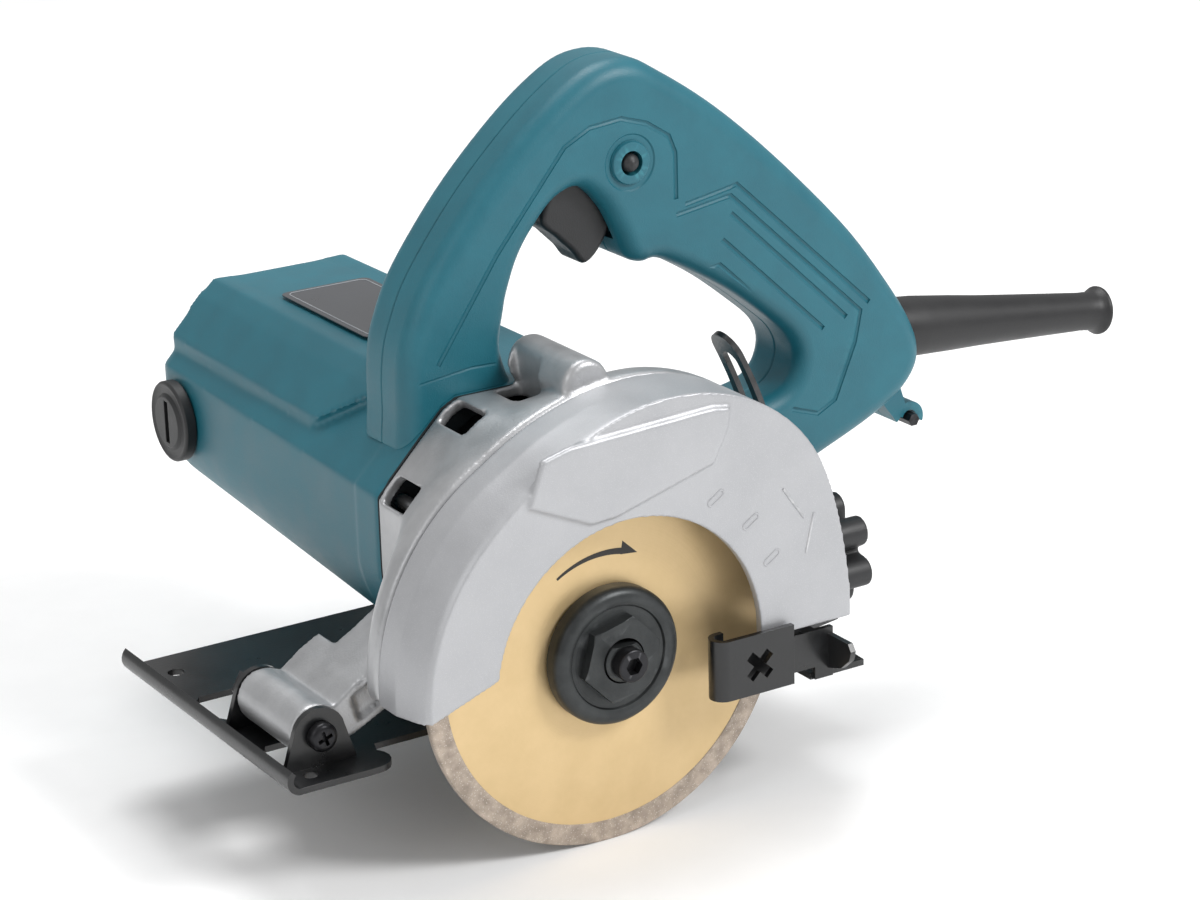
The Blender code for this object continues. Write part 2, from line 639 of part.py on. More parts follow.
def cooling_fan():
    """Back disc with twelve straight blades that face the motor."""
    disc = [(45.0, 4.35), (45.0, 8.0), (45.0, 31.5), (46.6, 31.5), (46.6, 9.0), (57.0, 9.0),
            (57.0, 4.35)]
    fan = make_object("cooling_fan", turned(disc, 'y', (0, 0, MOTOR_Z), 32, tube=True), DARK_PLASTIC)
    for index in range(10):
        angle = 2 * pi * index / 10
        out, side = Vector((cos(angle), sin(angle))), Vector((-sin(angle), cos(angle)))
        lean = side * 4.0
        centre = Vector((0.0, MOTOR_Z))
        blade = [tuple(centre + out * 8.0 - side * 0.7), tuple(centre + out * 31.0 + lean - side * 0.7),
                 tuple(centre + out * 31.0 + lean + side * 0.7), tuple(centre + out * 8.0 + side * 0.7)]
        add(fan, make_object(f"tool_fan_blade_{index}", slab(blade, 'y', 46.0, 56.2), DARK_PLASTIC,
                             smooth=False))
    return fan


def armature_shaft():
    profile = solid_of_turn([(20.4, 3.6), (20.8, 4.0), (182.7, 4.0)])
    return make_object("armature_shaft", turned(profile, 'y', (0, 0, MOTOR_Z), 16), STEEL,
                       pivot=(0, 0, MOTOR_Z))


def brush_holder(name, side):
    tube = turned(solid_of_turn([(13.0, 6.0), (39.2, 6.0)]), (side, 0, 0), (0, BRUSH_Y, MOTOR_Z), 20)
    holder = make_object(name, tube, STEEL)
    low, high = sorted((side * 12.0, side * 41.0))
    bore = box(low, high, BRUSH_Y - 3.4, BRUSH_Y + 3.4, MOTOR_Z - 3.4, MOTOR_Z + 3.4)
    return cut(holder, make_object(f"tool_{name}", bore, STEEL, smooth=False))


def carbon_brush(name, side):
    low, high = sorted((side * 11.6, side * 27.0))
    block = box(low, high, BRUSH_Y - 3.0, BRUSH_Y + 3.0, MOTOR_Z - 3.0, MOTOR_Z + 3.0)
    return soften(make_object(name, block, CARBON, smooth=False), 0.3, 1)


def brush_cap(name, side):
    """Slotted round screw cap over a brush."""
    profile = solid_of_turn([(39.6, 5.9), (41.2, 5.9), (41.2, 12.2), (44.2, 12.2), (45.2, 11.2)])
    cap = make_object(name, turned(profile, (side, 0, 0), (0, BRUSH_Y, MOTOR_Z), 28), DARK_PLASTIC)
    low, high = sorted((side * 43.6, side * 47.0))
    slot = box(low, high, BRUSH_Y - 1.2, BRUSH_Y + 1.2, MOTOR_Z - 7.5, MOTOR_Z + 7.5)
    return cut(cap, make_object(f"tool_{name}", slot, DARK_PLASTIC, smooth=False))


def rating_label():
    outline = [(-15, 98), (14, 98), (14, 152), (-15, 152)]
    film = slab(outline, 'z', HOUSING_TOP_Z + 0.75, HOUSING_TOP_Z + 1.15)
    return make_object("rating_label", film, LABEL, smooth=False)


# ---------------------------------------------------------------- handle
def handle_half(name, side):
    """One clamshell of the D handle; side is -1 for the blade's half."""
    flat = HANDLE_MID_Y + side * GAP / 2
    face = HANDLE_MID_Y + side * HANDLE_HALF
    rings = rounded_side(HANDLE_OUTER, flat, face, 6.0)
    half = make_object(name, loft(rings), TEAL)
    flare = [lift(HANDLE_INNER, 'y', flat - side)]
    radius, steps = 5.0, 3
    for i in range(steps + 1):
        angle = pi / 2 * i / steps
        flare.append(lift(grown(HANDLE_INNER, radius * (1 - cos(angle))), 'y',
                          face - side * radius * (1 - sin(angle))))
    flare.append(lift(grown(HANDLE_INNER, radius), 'y', face + side * 2))
    space = slab(grown(HANDLE_OUTER, -HANDLE_WALL - 0.2), 'y', flat - side, face - side * HANDLE_WALL)
    hollow = make_object(f"tool_{name}_hollow", space, TEAL)
    cut(hollow, make_object(f"tool_{name}_keep",
                            slab(grown(HANDLE_INNER, HANDLE_WALL), 'y', flat - side * 2, face),
                            TEAL))
    for index, (x, z) in enumerate(SCREW_SPOTS):
        post = turned(solid_of_turn([(-1.0, 4.4), (HANDLE_HALF, 4.4)]), (0, side, 0),
                      (x, HANDLE_MID_Y, z), 12)
        cut(hollow, make_object(f"tool_{name}_post_{index}", post, TEAL))
    cut(half, hollow, make_object(f"tool_{name}_opening", loft(flare), TEAL))
    seat = [lift(housing_section(y, 0.35), 'y', y) for y in (30.0, 60.0, 90.0)]
    cut(half, make_object(f"tool_{name}_seat", loft(seat), TEAL))
    low, high = sorted((HANDLE_MID_Y - side * 2, HANDLE_MID_Y + side * 6.6))
    cut(half, make_object(f"tool_{name}_mouth", box(12.5, 38.5, low, high, 96.0, 119.5), TEAL,
                          smooth=False))
    cord_hole = turned(solid_of_turn([(-24, 9.35), (10, 9.35)]), GUARD_DIR, GUARD_ROOT, 24)
    cut(half, make_object(f"tool_{name}_cord", cord_hole, TEAL))
    for index, (x, z) in enumerate(SCREW_SPOTS):
        if side < 0:
            profile = solid_of_turn([(-2.0, 2.2), (9.5, 2.2)])
        else:
            profile = solid_of_turn([(-2.0, 2.2), (9.6, 2.2), (9.6, 4.3), (HANDLE_HALF + 2, 4.3)])
        bore = turned(profile, (0, side, 0), (x, HANDLE_MID_Y, z), 12)
        cut(half, make_object(f"tool_{name}_bore_{index}", bore, TEAL))
    clip = arc((136.0, 24.5), 5.0, -20, 165, 8) + arc((136.0, 24.5), 2.5, 165, -20, 8)
    stem = [(131.5, 24.0), (135.0, 27.8), (131.5, 38.0), (125.0, 32.5)]
    near, far = sorted((flat, flat + side * 7.0))
    hook = make_object(f"tool_{name}_clip", slab(clip, 'y', near, far), TEAL)
    add(hook, make_object(f"tool_{name}_stem", slab(stem, 'y', near + 0.01, far - 0.01), TEAL,
                          smooth=False))
    cut(hook, make_object(f"tool_{name}_rod",
                          turned(solid_of_turn([(30, 2.4), (80, 2.4)]), 'y', (136.0, 0, 24.5), 16),
                          TEAL))
    add(half, hook)
    if side < 0:
        ring = turned(solid_of_turn([(face - 0.9, 5.4), (face - 0.5, 5.9), (face + 6, 5.9)]), 'y',
                      (37.5, 0, 118.5), 24)
        hole = turned(solid_of_turn([(face - 4, 3.4), (HANDLE_MID_Y + 2, 3.4)]), 'y',
                      (37.5, 0, 118.5), 16)
        add(half, make_object("tool_lock_ring", ring, TEAL))
        cut(half, make_object("tool_lock_hole", hole, TEAL))
    return half


TRIGGER_PIVOT = (33.5, HANDLE_MID_Y, 111.5)


def trigger():
    """Finger trigger that swings into the grip about a pin at its rear top."""
    outline = smooth_loop([(17.5, 113), (13.6, 104.5), (18.5, 99.0), (23.0, 94.5), (26.5, 90.5),
                           (31.0, 93.0), (35.5, 100.0), (36.8, 107.5), (33.0, 112.2),
                           (25.0, 114.8)], 3)
    body = make_object("trigger", slab(outline, 'y', HANDLE_MID_Y - 6.0, HANDLE_MID_Y + 6.0),
                       DARK_PLASTIC, pivot=TRIGGER_PIVOT)
    return soften(body, 1.0, 2)


def trigger_spring():
    """Compression spring between the trigger and the switch."""
    turns, radius, per_turn = 3, 2.4, 8
    points = []
    for i in range(turns * per_turn + 1):
        angle = 2 * pi * i / per_turn
        points.append((22.0 + radius * cos(angle), HANDLE_MID_Y + radius * sin(angle),
                       115.8 + 4.9 * i / (turns * per_turn)))
    return pipe("trigger_spring", points, 0.35, STEEL, 1)


def lock_button():
    """Pin that holds the trigger on, with a round head in a ring on the handle."""
    face = HANDLE_MID_Y - HANDLE_HALF
    profile = solid_of_turn([(face - 1.9, 1.0), (face - 1.2, 2.1), (face + 0.4, 2.6),
                             (face + 1.0, 2.6), (face + 1.0, 2.2), (face + 8.5, 2.2)])
    return make_object("lock_button", turned(profile, 'y', (37.5, 0, 118.5), 20), DARK_PLASTIC,
                       pivot=(37.5, face, 118.5))


def switch_body():
    block = box(16.5, 50.0, HANDLE_MID_Y - 7, HANDLE_MID_Y + 7, 121.6, 134.5)
    return soften(make_object("switch_body", block, DARK_PLASTIC, smooth=False), 0.8, 2)


def cord_guard():
    """Tapered rubber sleeve with a collar held inside the handle and a rolled end."""
    profile = [(-15.5, 4.4), (-15.5, 8.8), (0.0, 8.9), (25.0, 7.5), (66.0, 5.8), (69.0, 6.2),
               (71.0, 7.4), (72.0, 7.4), (72.0, 4.4)]
    return make_object("cord_guard", turned(profile, GUARD_DIR, GUARD_ROOT, 28, tube=True),
                       BLACK_RUBBER)


def cord_clamp():
    """Strap that two ribs in the handle pinch onto the cord."""
    block = box(103.0, 110.0, HANDLE_MID_Y - 8.5, HANDLE_MID_Y + 8.5, 47.2, 61.0)
    clamp = make_object("cord_clamp", block, DARK_PLASTIC, smooth=False)
    hole = turned(solid_of_turn([(-44, CORD_R + GAP), (-26, CORD_R + GAP)]), GUARD_DIR,
                  GUARD_ROOT, 16)
    return cut(soften(clamp, 0.6, 1), make_object("tool_clamp_hole", hole, DARK_PLASTIC))


def supply_lead():
    """The lead inside the handle and the guard, up to the guard's mouth."""
    profile = solid_of_turn([(-42.0, CORD_R), (71.0, CORD_R)])
    return make_object("supply_lead", turned(profile, GUARD_DIR, GUARD_ROOT, 16), BLACK_RUBBER)


def hex_wrench():
    """L-shaped key that clips under the back of the handle."""
    points = [(136.0, 44.5, 24.5), (136.0, 66.5, 24.5)]
    for i in range(1, 7):
        angle = pi / 2 * i / 6
        points.append((136.0 - 5.0 * (1 - cos(angle)), 66.5 + 5.0 * sin(angle), 24.5))
    points.append((112.0, 71.5, 24.5))
    return pipe("hex_wrench", points, 2.0, BLACK_STEEL, 2)


# ---------------------------------------------------------------- base and depth guide
EAR_NEAR_Y = (15.5, 17.3)
EAR_FAR_Y = (49.0, 50.8)


def ear_outline():
    return ([(-88.0, SOLE_Z + 0.6), (-67.5, SOLE_Z + 0.6), (-67.5, SOLE_Z + 2.6)]
            + arc(PIVOT, PIVOT_R, 8, 165, 10) + [(-88.0, SOLE_Z + 2.6)])


def base_plate():
    """One steel pressing: sole, curled front lip, two ears and the outboard strap."""
    top = SOLE_Z + PLATE_T
    plan = ([(-89.2, 5.6), (-66.0, 5.6)] + arc((-66.0, 11.6), 6.0, -90, 40, 6)
            + [(-60.0, 19.5), (-30.0, 19.5), (-26.0, 44.0), (26.0, 44.0), (30.0, 19.5),
               (60.0, 19.5), (60.0, -9.4), (78.0, -9.4), (80.0, 19.5), (92.0, 22.0),
               (92.0, 98.5)] + arc((84.0, 98.5), 8.0, 0, 90, 5) + [(-89.2, 106.4)])
    plate = make_object("base_plate", slab(plan, 'z', SOLE_Z, top), BLACK_STEEL, smooth=False)
    curl = ([(-88.6, SOLE_Z)] + arc((-88.6, SOLE_Z + 4.0), 4.0, 270, 130, 10)
            + arc((-88.6, SOLE_Z + 4.0), 4.0 - PLATE_T, 130, 270, 10))
    add(plate, make_object("tool_lip", slab(curl, 'y', 5.5, 106.5), BLACK_STEEL))
    for index, (start, end) in enumerate((EAR_NEAR_Y, EAR_FAR_Y)):
        add(plate, make_object(f"tool_ear_{index}", slab(ear_outline(), 'y', start, end), BLACK_STEEL))
    for index, (start, end) in enumerate(((19.0, 34.5), (56.0, 74.5))):
        window = [(-87.3, start + 4), (-84.5, start), (-79.0, start), (-70.5, start + 1),
                  (-69.5, end - 3), (-74.0, end), (-84.5, end), (-87.3, end - 4)]
        cut(plate, make_object(f"tool_window_{index}", slab(window, 'z', SOLE_Z - 3, top + 2),
                               BLACK_STEEL, smooth=False))
    strap_in, strap_t = -9.2, 1.6
    strap = ([(28.7, -10.8 - 4.4), (49.5, -15.2), (49.5, -15.2 - strap_t)]
             + arc((28.7, -13.0), 2.2 + strap_t, 270, 90, 10)
             + [(66.6, strap_in), (66.6, strap_in - strap_t)]
             + arc((28.7, -13.0), 2.2, 90, 270, 8)[:-1])
    strap_solid = make_object("tool_strap", slab(strap, 'z', -16.4, 0.8), BLACK_STEEL)
    trim = [(52.0, -7.4), (53.5, -5.6), (67.5, -5.6), (67.5, 3.0), (49.5, 3.0), (30.6, 3.0),
            (30.6, -3.2), (49.0, -3.2)]
    cut(strap_solid, make_object("tool_strap_trim", slab(trim, 'y', -14.0, -8.0), BLACK_STEEL,
                                 smooth=False))
    foot = box(60.6, 66.6, strap_in - strap_t, strap_in, SOLE_Z + 0.4, -15.0)
    tab = slab([(strap_in - strap_t, -17.6), (-16.8, -15.8), (-20.6, -12.4), (-21.4, -9.6),
                (-20.0, -7.6), (strap_in, -7.6), (strap_in, -17.6)], 'x', 64.9, 66.6)
    add(plate, strap_solid, make_object("tool_strap_foot", foot, BLACK_STEEL, smooth=False),
        make_object("tool_strap_tab", tab, BLACK_STEEL, smooth=False))
    cross_x, cross_z = 38.3, -8.2
    for index, turn in enumerate((45, 135)):
        along = Vector((cos(radians(turn)), sin(radians(turn))))
        side = Vector((-along.y, along.x)) * 1.4
        middle = Vector((cross_x, cross_z))
        bar = [tuple(middle - along * 4.6 - side), tuple(middle + along * 4.6 - side),
               tuple(middle + along * 4.6 + side), tuple(middle - along * 4.6 + side)]
        cut(plate, make_object(f"tool_cross_{index}", slab(bar, 'y', -20.0, -14.2), BLACK_STEEL,
                               smooth=False))
    for index, (x, y, radius) in enumerate(((-82.0, 94.0, 2.4), (-83.0, 11.5, 2.0),
                                            (RIVET_X, GUIDE_Y, 2.3))):
        hole = turned(solid_of_turn([(SOLE_Z - 3, radius), (top + 3, radius)]), 'z', (x, y, 0), 14)
        cut(plate, make_object(f"tool_plate_hole_{index}", hole, BLACK_STEEL))
    pin_hole = turned(solid_of_turn([(10, 3.3), (60, 3.3)]), 'y', (PIVOT[0], 0, PIVOT[1]), 20)
    return cut(plate, make_object("tool_ear_holes", pin_hole, BLACK_STEEL))


def pivot_bolt():
    return screw("pivot_bolt", PIVOT[0], PIVOT[1], 12.2, 56.0, 4.0, 3.0, BLACK_STEEL)


def pivot_nut():
    hexagon = slab(arc(PIVOT, 5.7, 0, 300, 5), 'y', EAR_FAR_Y[1] + GAP, EAR_FAR_Y[1] + 4.8)
    nut = make_object("pivot_nut", hexagon, BLACK_STEEL, smooth=False)
    bore = turned(solid_of_turn([(40, 3.3), (70, 3.3)]), 'y', (PIVOT[0], 0, PIVOT[1]), 16)
    return cut(nut, make_object("tool_nut_bore", bore, BLACK_STEEL))


def arc_strip(start, end, half_width, inner, outer, steps, round_end):
    """A strip that follows the arc about the pivot, with a rounded far end."""
    sections = []
    span = radians(end - start)
    for i in range(steps + 1):
        angle = radians(start) + span * i / steps
        left = (radians(end) - angle) * GUIDE_R
        half = half_width
        if round_end and left < half_width:
            half = sqrt(max(half_width ** 2 - (half_width - left) ** 2, 0.6))
        near, far = GUIDE_Y - half, GUIDE_Y + half
        ends = [(PIVOT[0] + r * cos(angle), PIVOT[1] + r * sin(angle)) for r in (inner, outer)]
        sections.append([(ends[0][0], near, ends[0][1]), (ends[1][0], near, ends[1][1]),
                         (ends[1][0], far, ends[1][1]), (ends[0][0], far, ends[0][1])])
    return loft(sections)


def depth_guide():
    """Slotted steel strip on the base that the clamp knob grips."""
    low = -3.05
    strip = make_object("depth_guide", arc_strip(low, 29.4, 6.2, GUIDE_R - 0.8, GUIDE_R + 0.8, 30, True),
                        BLACK_STEEL)
    foot = box(79.8, 91.8, GUIDE_Y - 6.2, GUIDE_Y + 6.2, SOLE_Z + PLATE_T + GAP,
               SOLE_Z + PLATE_T + GAP + 1.6)
    add(strip, make_object("tool_guide_foot", foot, BLACK_STEEL, smooth=False))
    slot = arc_strip(-0.6, 27.2, 3.4, GUIDE_R - 4, GUIDE_R + 4, 14, False)
    cut(strip, make_object("tool_guide_slot", slot, BLACK_STEEL))
    hole = turned(solid_of_turn([(SOLE_Z, 2.3), (SOLE_Z + 6, 2.3)]), 'z', (RIVET_X, GUIDE_Y, 0), 14)
    return cut(strip, make_object("tool_guide_hole", hole, BLACK_STEEL))


def guide_rivet():
    low = SOLE_Z + 0.15
    high = SOLE_Z + PLATE_T + GAP + 1.6 + GAP
    profile = solid_of_turn([(low, 2.0), (high, 2.0), (high, 3.9), (high + 0.9, 3.2),
                             (high + 1.5, 1.6)])
    return make_object("guide_rivet", turned(profile, 'z', (RIVET_X, GUIDE_Y, 0), 16), STEEL)


def depth_clamp_stud():
    profile = solid_of_turn([(63.0, 2.6), (63.4, 3.0), (98.2, 3.0), (98.6, 2.6)])
    return make_object("depth_clamp_stud", turned(profile, 'x', (0, GUIDE_Y, CLAMP_Z), 18), STEEL,
                       pivot=(80.0, GUIDE_Y, CLAMP_Z))


KNOB_START_X = 92.2            # clear of the base's back edge at every turn


def depth_clamp_spacer():
    """Plain sleeve on the stud that carries the knob's push to the guide."""
    start = PIVOT[0] + GUIDE_R + 0.8 + GAP + 0.4
    profile = [(start, 3.3), (start, 8.4), (start + 0.6, 9.0), (KNOB_START_X - GAP, 9.0),
               (KNOB_START_X - GAP, 3.3)]
    return make_object("depth_clamp_spacer",
                       turned(profile, 'x', (0, GUIDE_Y, CLAMP_Z), 28, tube=True), DARK_PLASTIC,
                       pivot=(90.0, GUIDE_Y, CLAMP_Z))


def depth_clamp_knob():
    """Six-lobed hand knob on the stud."""
    outline = []
    for lobe in range(6):
        middle = 60.0 * lobe + 20.0
        spot = (GUIDE_Y + 11.7 * cos(radians(middle)), CLAMP_Z + 11.7 * sin(radians(middle)))
        outline += arc(spot, 4.4, middle - 92, middle + 92, 5)
        outline += arc((GUIDE_Y, CLAMP_Z), 8.6, middle + 27, middle + 33, 1)
    knob = make_object("depth_clamp_knob", slab(outline, 'x', KNOB_START_X, 102.0), DARK_PLASTIC,
                       pivot=(90.0, GUIDE_Y, CLAMP_Z))
    crown = turned(solid_of_turn([(94.0, 7.6), (101.5, 7.6), (103.4, 6.0)]),
                   'x', (0, GUIDE_Y, CLAMP_Z), 24)
    bore = turned(solid_of_turn([(70, 3.3), (99.2, 3.3)]), 'x', (0, GUIDE_Y, CLAMP_Z), 18)
    add(knob, make_object("tool_knob_crown", crown, DARK_PLASTIC))
    return cut(knob, make_object("tool_knob_bore", bore, DARK_PLASTIC))


# ---------------------------------------------------------------- build everything
def clear_scene():
    for old in list(bpy.data.objects):
        bpy.data.objects.remove(old, do_unlink=True)


clear_scene()
diamond_blade()
inner_flange()
outer_flange()
spindle()
arbor_bolt()
bearing("spindle_front_bearing", 0.0, 10.6, 19.4, 6.1, 15.95)
bearing("spindle_rear_bearing", 0.0, 34.6, 39.4, 4.1, 7.95)
bearing("armature_front_bearing", MOTOR_Z, 34.6, 39.4, 4.2, 9.5)
bearing("armature_rear_bearing", MOTOR_Z, 177.4, 182.6, 4.2, 9.4)
drive_gear()
motor_pinion()
gear_housing()
bearing_plate()
blade_guard()
for number, spot in enumerate(GUARD_SCREWS, 1):
    screw_x, screw_z = guard_screw_spot(*spot)
    screw(f"guard_screw_{number}", screw_x, screw_z, 15.4, -3.0, 3.9, 1.95, STEEL, -1)
motor_housing()
for number, (screw_x, screw_z) in enumerate(HOUSING_SCREWS, 1):
    screw(f"housing_screw_{number}", screw_x, screw_z, 12.8, 58.0, 4.0, 2.0, STEEL)
stator_core()
armature_shaft()
armature_core()
commutator()
cooling_fan()
brush_holder("brush_holder_front", -1)
brush_holder("brush_holder_rear", 1)
carbon_brush("carbon_brush_front", -1)
carbon_brush("carbon_brush_rear", 1)
brush_cap("brush_cap_front", -1)
brush_cap("brush_cap_rear", 1)
rating_label()
handle_half("handle_blade_half", -1)
handle_half("handle_motor_half", 1)
for number, (screw_x, screw_z) in enumerate(SCREW_SPOTS, 1):
    screw(f"handle_screw_{number}", screw_x, screw_z, HANDLE_MID_Y + HANDLE_HALF - 0.5, 46.0, 3.8,
          1.85, STEEL, -1)
trigger()
trigger_spring()
lock_button()
switch_body()
cord_guard()
cord_clamp()
supply_lead()
hex_wrench()
base_plate()
pivot_bolt()
pivot_nut()
depth_guide()
guide_rivet()
depth_clamp_stud()
depth_clamp_spacer()
depth_clamp_knob()
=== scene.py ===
import bpy
import bmesh
import json
from math import cos, pi, radians, sin
from mathutils import Matrix, Vector


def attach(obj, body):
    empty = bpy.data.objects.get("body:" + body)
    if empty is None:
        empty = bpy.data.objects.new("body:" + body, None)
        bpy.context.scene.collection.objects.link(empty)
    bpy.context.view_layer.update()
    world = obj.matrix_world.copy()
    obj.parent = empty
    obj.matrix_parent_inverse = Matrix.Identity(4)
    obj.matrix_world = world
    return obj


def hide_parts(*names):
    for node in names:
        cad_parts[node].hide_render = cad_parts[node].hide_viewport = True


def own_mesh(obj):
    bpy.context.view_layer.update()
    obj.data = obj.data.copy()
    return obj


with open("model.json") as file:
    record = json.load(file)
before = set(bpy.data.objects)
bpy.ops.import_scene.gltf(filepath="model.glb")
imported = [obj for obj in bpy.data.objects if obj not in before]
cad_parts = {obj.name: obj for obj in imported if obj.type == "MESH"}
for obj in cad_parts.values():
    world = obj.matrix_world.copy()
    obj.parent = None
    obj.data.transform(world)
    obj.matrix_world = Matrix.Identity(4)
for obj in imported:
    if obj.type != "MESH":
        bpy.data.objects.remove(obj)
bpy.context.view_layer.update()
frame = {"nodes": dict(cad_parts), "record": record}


# ---------------------------------------------------------------- camera
# A long lens on the blade's side, from the front left and a little above.
def aim_camera():
    azimuth, elevation, roll = radians(-31.59), radians(19.25), radians(-1.61)
    back = Vector((sin(azimuth) * cos(elevation), -cos(azimuth) * cos(elevation), sin(elevation)))
    right = Vector((cos(azimuth), sin(azimuth), 0.0))
    up = back.cross(right)
    level_right = right * cos(roll) + up * sin(roll)
    level_up = up * cos(roll) - right * sin(roll)
    spindle_nose = Vector((0.0, -0.060, 0.0205))
    place = spindle_nose - level_right * 0.0013 + level_up * 0.05288 + back * 0.90182
    lens = bpy.data.cameras.new("side_camera")
    lens.sensor_width = 36.0
    lens.lens = 102.0
    lens.clip_start = 0.01
    camera = bpy.data.objects.new("side_camera", lens)
    camera.matrix_world = Matrix((
        (level_right.x, level_up.x, back.x, place.x),
        (level_right.y, level_up.y, back.y, place.y),
        (level_right.z, level_up.z, back.z, place.z),
        (0.0, 0.0, 0.0, 1.0)))
    bpy.context.scene.collection.objects.link(camera)
    bpy.context.scene.camera = camera


aim_camera()


# ---------------------------------------------------------------- diamond blade
# A thin steel blank lacquered gold, with a continuous rim of diamond grit in sintered
# metal. A turning arrow is printed on the side that faces the user.
BLADE_R, CORE_R, BORE_R = 55.0, 49.2, 10.0
CORE_HALF, RIM_HALF = 0.85, 1.1
ARROW_R, PRINT_Y = 27.6, -0.88
AXES = {'x': Vector((1, 0, 0)), 'y': Vector((0, 1, 0)), 'z': Vector((0, 0, 1))}


def at(x, y, z):
    """Millimetres from the spindle's axis and the blade's plane, in the frame's metres."""
    return Vector((x * 0.001, (y - 60.0) * 0.001, (z + 20.5) * 0.001))


def piece(name, bm, paint=None):
    bmesh.ops.remove_doubles(bm, verts=bm.verts, dist=1e-6)
    bmesh.ops.recalc_face_normals(bm, faces=bm.faces)
    mesh = bpy.data.meshes.new(name)
    bm.to_mesh(mesh)
    bm.free()
    made = bpy.data.objects.new(name, mesh)
    bpy.context.scene.collection.objects.link(made)
    if paint:
        mesh.materials.append(paint)
    return made


def turned(name, profile, centre, axis='y', sides=96, paint=None, ring=False):
    """Spin (distance along the axis, radius) points: a ring, or a solid down to the axis."""
    direction = AXES[axis] if isinstance(axis, str) else axis
    if not ring:
        profile = [(profile[0][0], 0.0)] + list(profile) + [(profile[-1][0], 0.0)]
    bm = bmesh.new()
    corners = [bm.verts.new((radius, 0, along)) for along, radius in profile]
    edges = [bm.edges.new(pair) for pair in zip(corners, corners[1:])]
    if ring:
        edges.append(bm.edges.new((corners[-1], corners[0])))
    bmesh.ops.spin(bm, geom=corners + edges, cent=(0, 0, 0), axis=(0, 0, 1), angle=2 * pi,
                   steps=sides, use_merge=True)
    bmesh.ops.scale(bm, vec=(0.001, 0.001, 0.001), verts=bm.verts)
    bmesh.ops.dissolve_degenerate(bm, dist=1e-7, edges=bm.edges)
    turn = Vector((0, 0, 1)).rotation_difference(direction).to_matrix().to_4x4()
    bmesh.ops.transform(bm, matrix=Matrix.Translation(at(*centre)) @ turn, verts=bm.verts)
    return piece(name, bm, paint)


def crisp(made, angle=30):
    """Smooth shading that stays sharp at real edges, led by the larger faces."""
    made.data.shade_smooth()
    made.data.set_sharp_from_angle(angle=radians(angle))
    step = made.modifiers.new("face_led_normals", 'WEIGHTED_NORMAL')
    step.keep_sharp = True
    return made


def settle(made):
    """Keep what the modifiers make as the piece's own mesh."""
    bpy.context.view_layer.update()
    depsgraph = bpy.context.evaluated_depsgraph_get()
    mesh = bpy.data.meshes.new_from_object(made.evaluated_get(depsgraph))
    made.modifiers.clear()
    made.data = mesh
    return made


def break_edges(made, width, segments=3, angle=32):
    step = made.modifiers.new("broken_edges", 'BEVEL')
    step.width = width * 0.001
    step.segments = segments
    step.limit_method = 'ANGLE'
    step.angle_limit = radians(angle)
    settle(made)
    return crisp(made)


def fit(made, body, slot, *nodes):
    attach(made, body)
    if nodes:
        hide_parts(*nodes)
    return made


FLOAT, VECTOR = 'NodeSocketFloat', 'NodeSocketVector'
BUMP_HEIGHT = 0.0002


def effect(name, inputs, outputs):
    """An empty node group with its (label, kind, value) inputs and (label, kind) outputs."""
    group = bpy.data.node_groups.new(name, 'ShaderNodeTree')
    for label, kind, value in inputs:
        entry = group.interface.new_socket(label, in_out='INPUT', socket_type=kind)
        if value is not None:
            entry.default_value = value
    for label, kind in outputs:
        group.interface.new_socket(label, in_out='OUTPUT', socket_type=kind)
    return group


def add(tree, kind, values=None, group=None):
    """A node, or a placed group, with its constants set on its sockets."""
    node = tree.nodes.new(kind)
    if group:
        node.node_tree = group
    for label, value in (values or {}).items():
        node.inputs[label].default_value = value
    return node


def join(tree, *pairs):
    """Link each (node, output, node, input)."""
    for source, leaving, target, entering in pairs:
        tree.links.new(source.outputs[leaving], target.inputs[entering])


def grain_group():
    """Fine grain as a normal, with a slow cloud as a value."""
    group = effect("surface_grain", (("Grain scale", FLOAT, 900.0), ("Grain depth", FLOAT, 0.1),
                                     ("Cloud scale", FLOAT, 40.0)),
                   (("Cloud", FLOAT), ("Normal", VECTOR)))
    entry, leave = add(group, 'NodeGroupInput'), add(group, 'NodeGroupOutput')
    place = add(group, 'ShaderNodeTexCoord')
    grain = add(group, 'ShaderNodeTexNoise', {"Detail": 3.0})
    cloud = add(group, 'ShaderNodeTexNoise', {"Detail": 6.0, "Roughness": 0.62})
    bump = add(group, 'ShaderNodeBump', {"Distance": BUMP_HEIGHT})
    join(group, (place, "Object", grain, "Vector"), (place, "Object", cloud, "Vector"),
         (entry, "Grain scale", grain, "Scale"), (entry, "Cloud scale", cloud, "Scale"),
         (entry, "Grain depth", bump, "Strength"), (grain, "Fac", bump, "Height"),
         (cloud, "Fac", leave, "Cloud"), (bump, "Normal", leave, "Normal"))
    return group


def wear_group():
    """Worn edges: where the surface turns sharply outwards, broken up by a noise."""
    group = effect("edge_wear", (("Start", FLOAT, 0.53), ("Full", FLOAT, 0.62)),
                   (("Wear", FLOAT),))
    entry, leave = add(group, 'NodeGroupInput'), add(group, 'NodeGroupOutput')
    shape, edge = add(group, 'ShaderNodeNewGeometry'), add(group, 'ShaderNodeMapRange')
    place = add(group, 'ShaderNodeTexCoord')
    noise = add(group, 'ShaderNodeTexNoise', {"Scale": 260.0, "Detail": 5.0})
    spots = add(group, 'ShaderNodeMapRange', {"From Min": 0.42, "From Max": 0.62})
    both = add(group, 'ShaderNodeMath')
    both.operation = 'MULTIPLY'
    join(group, (shape, "Pointiness", edge, "Value"), (entry, "Start", edge, "From Min"),
         (entry, "Full", edge, "From Max"), (place, "Object", noise, "Vector"),
         (noise, "Fac", spots, "Value"), (edge, "Result", both, 0), (spots, "Result", both, 1),
         (both, "Value", leave, "Wear"))
    return group


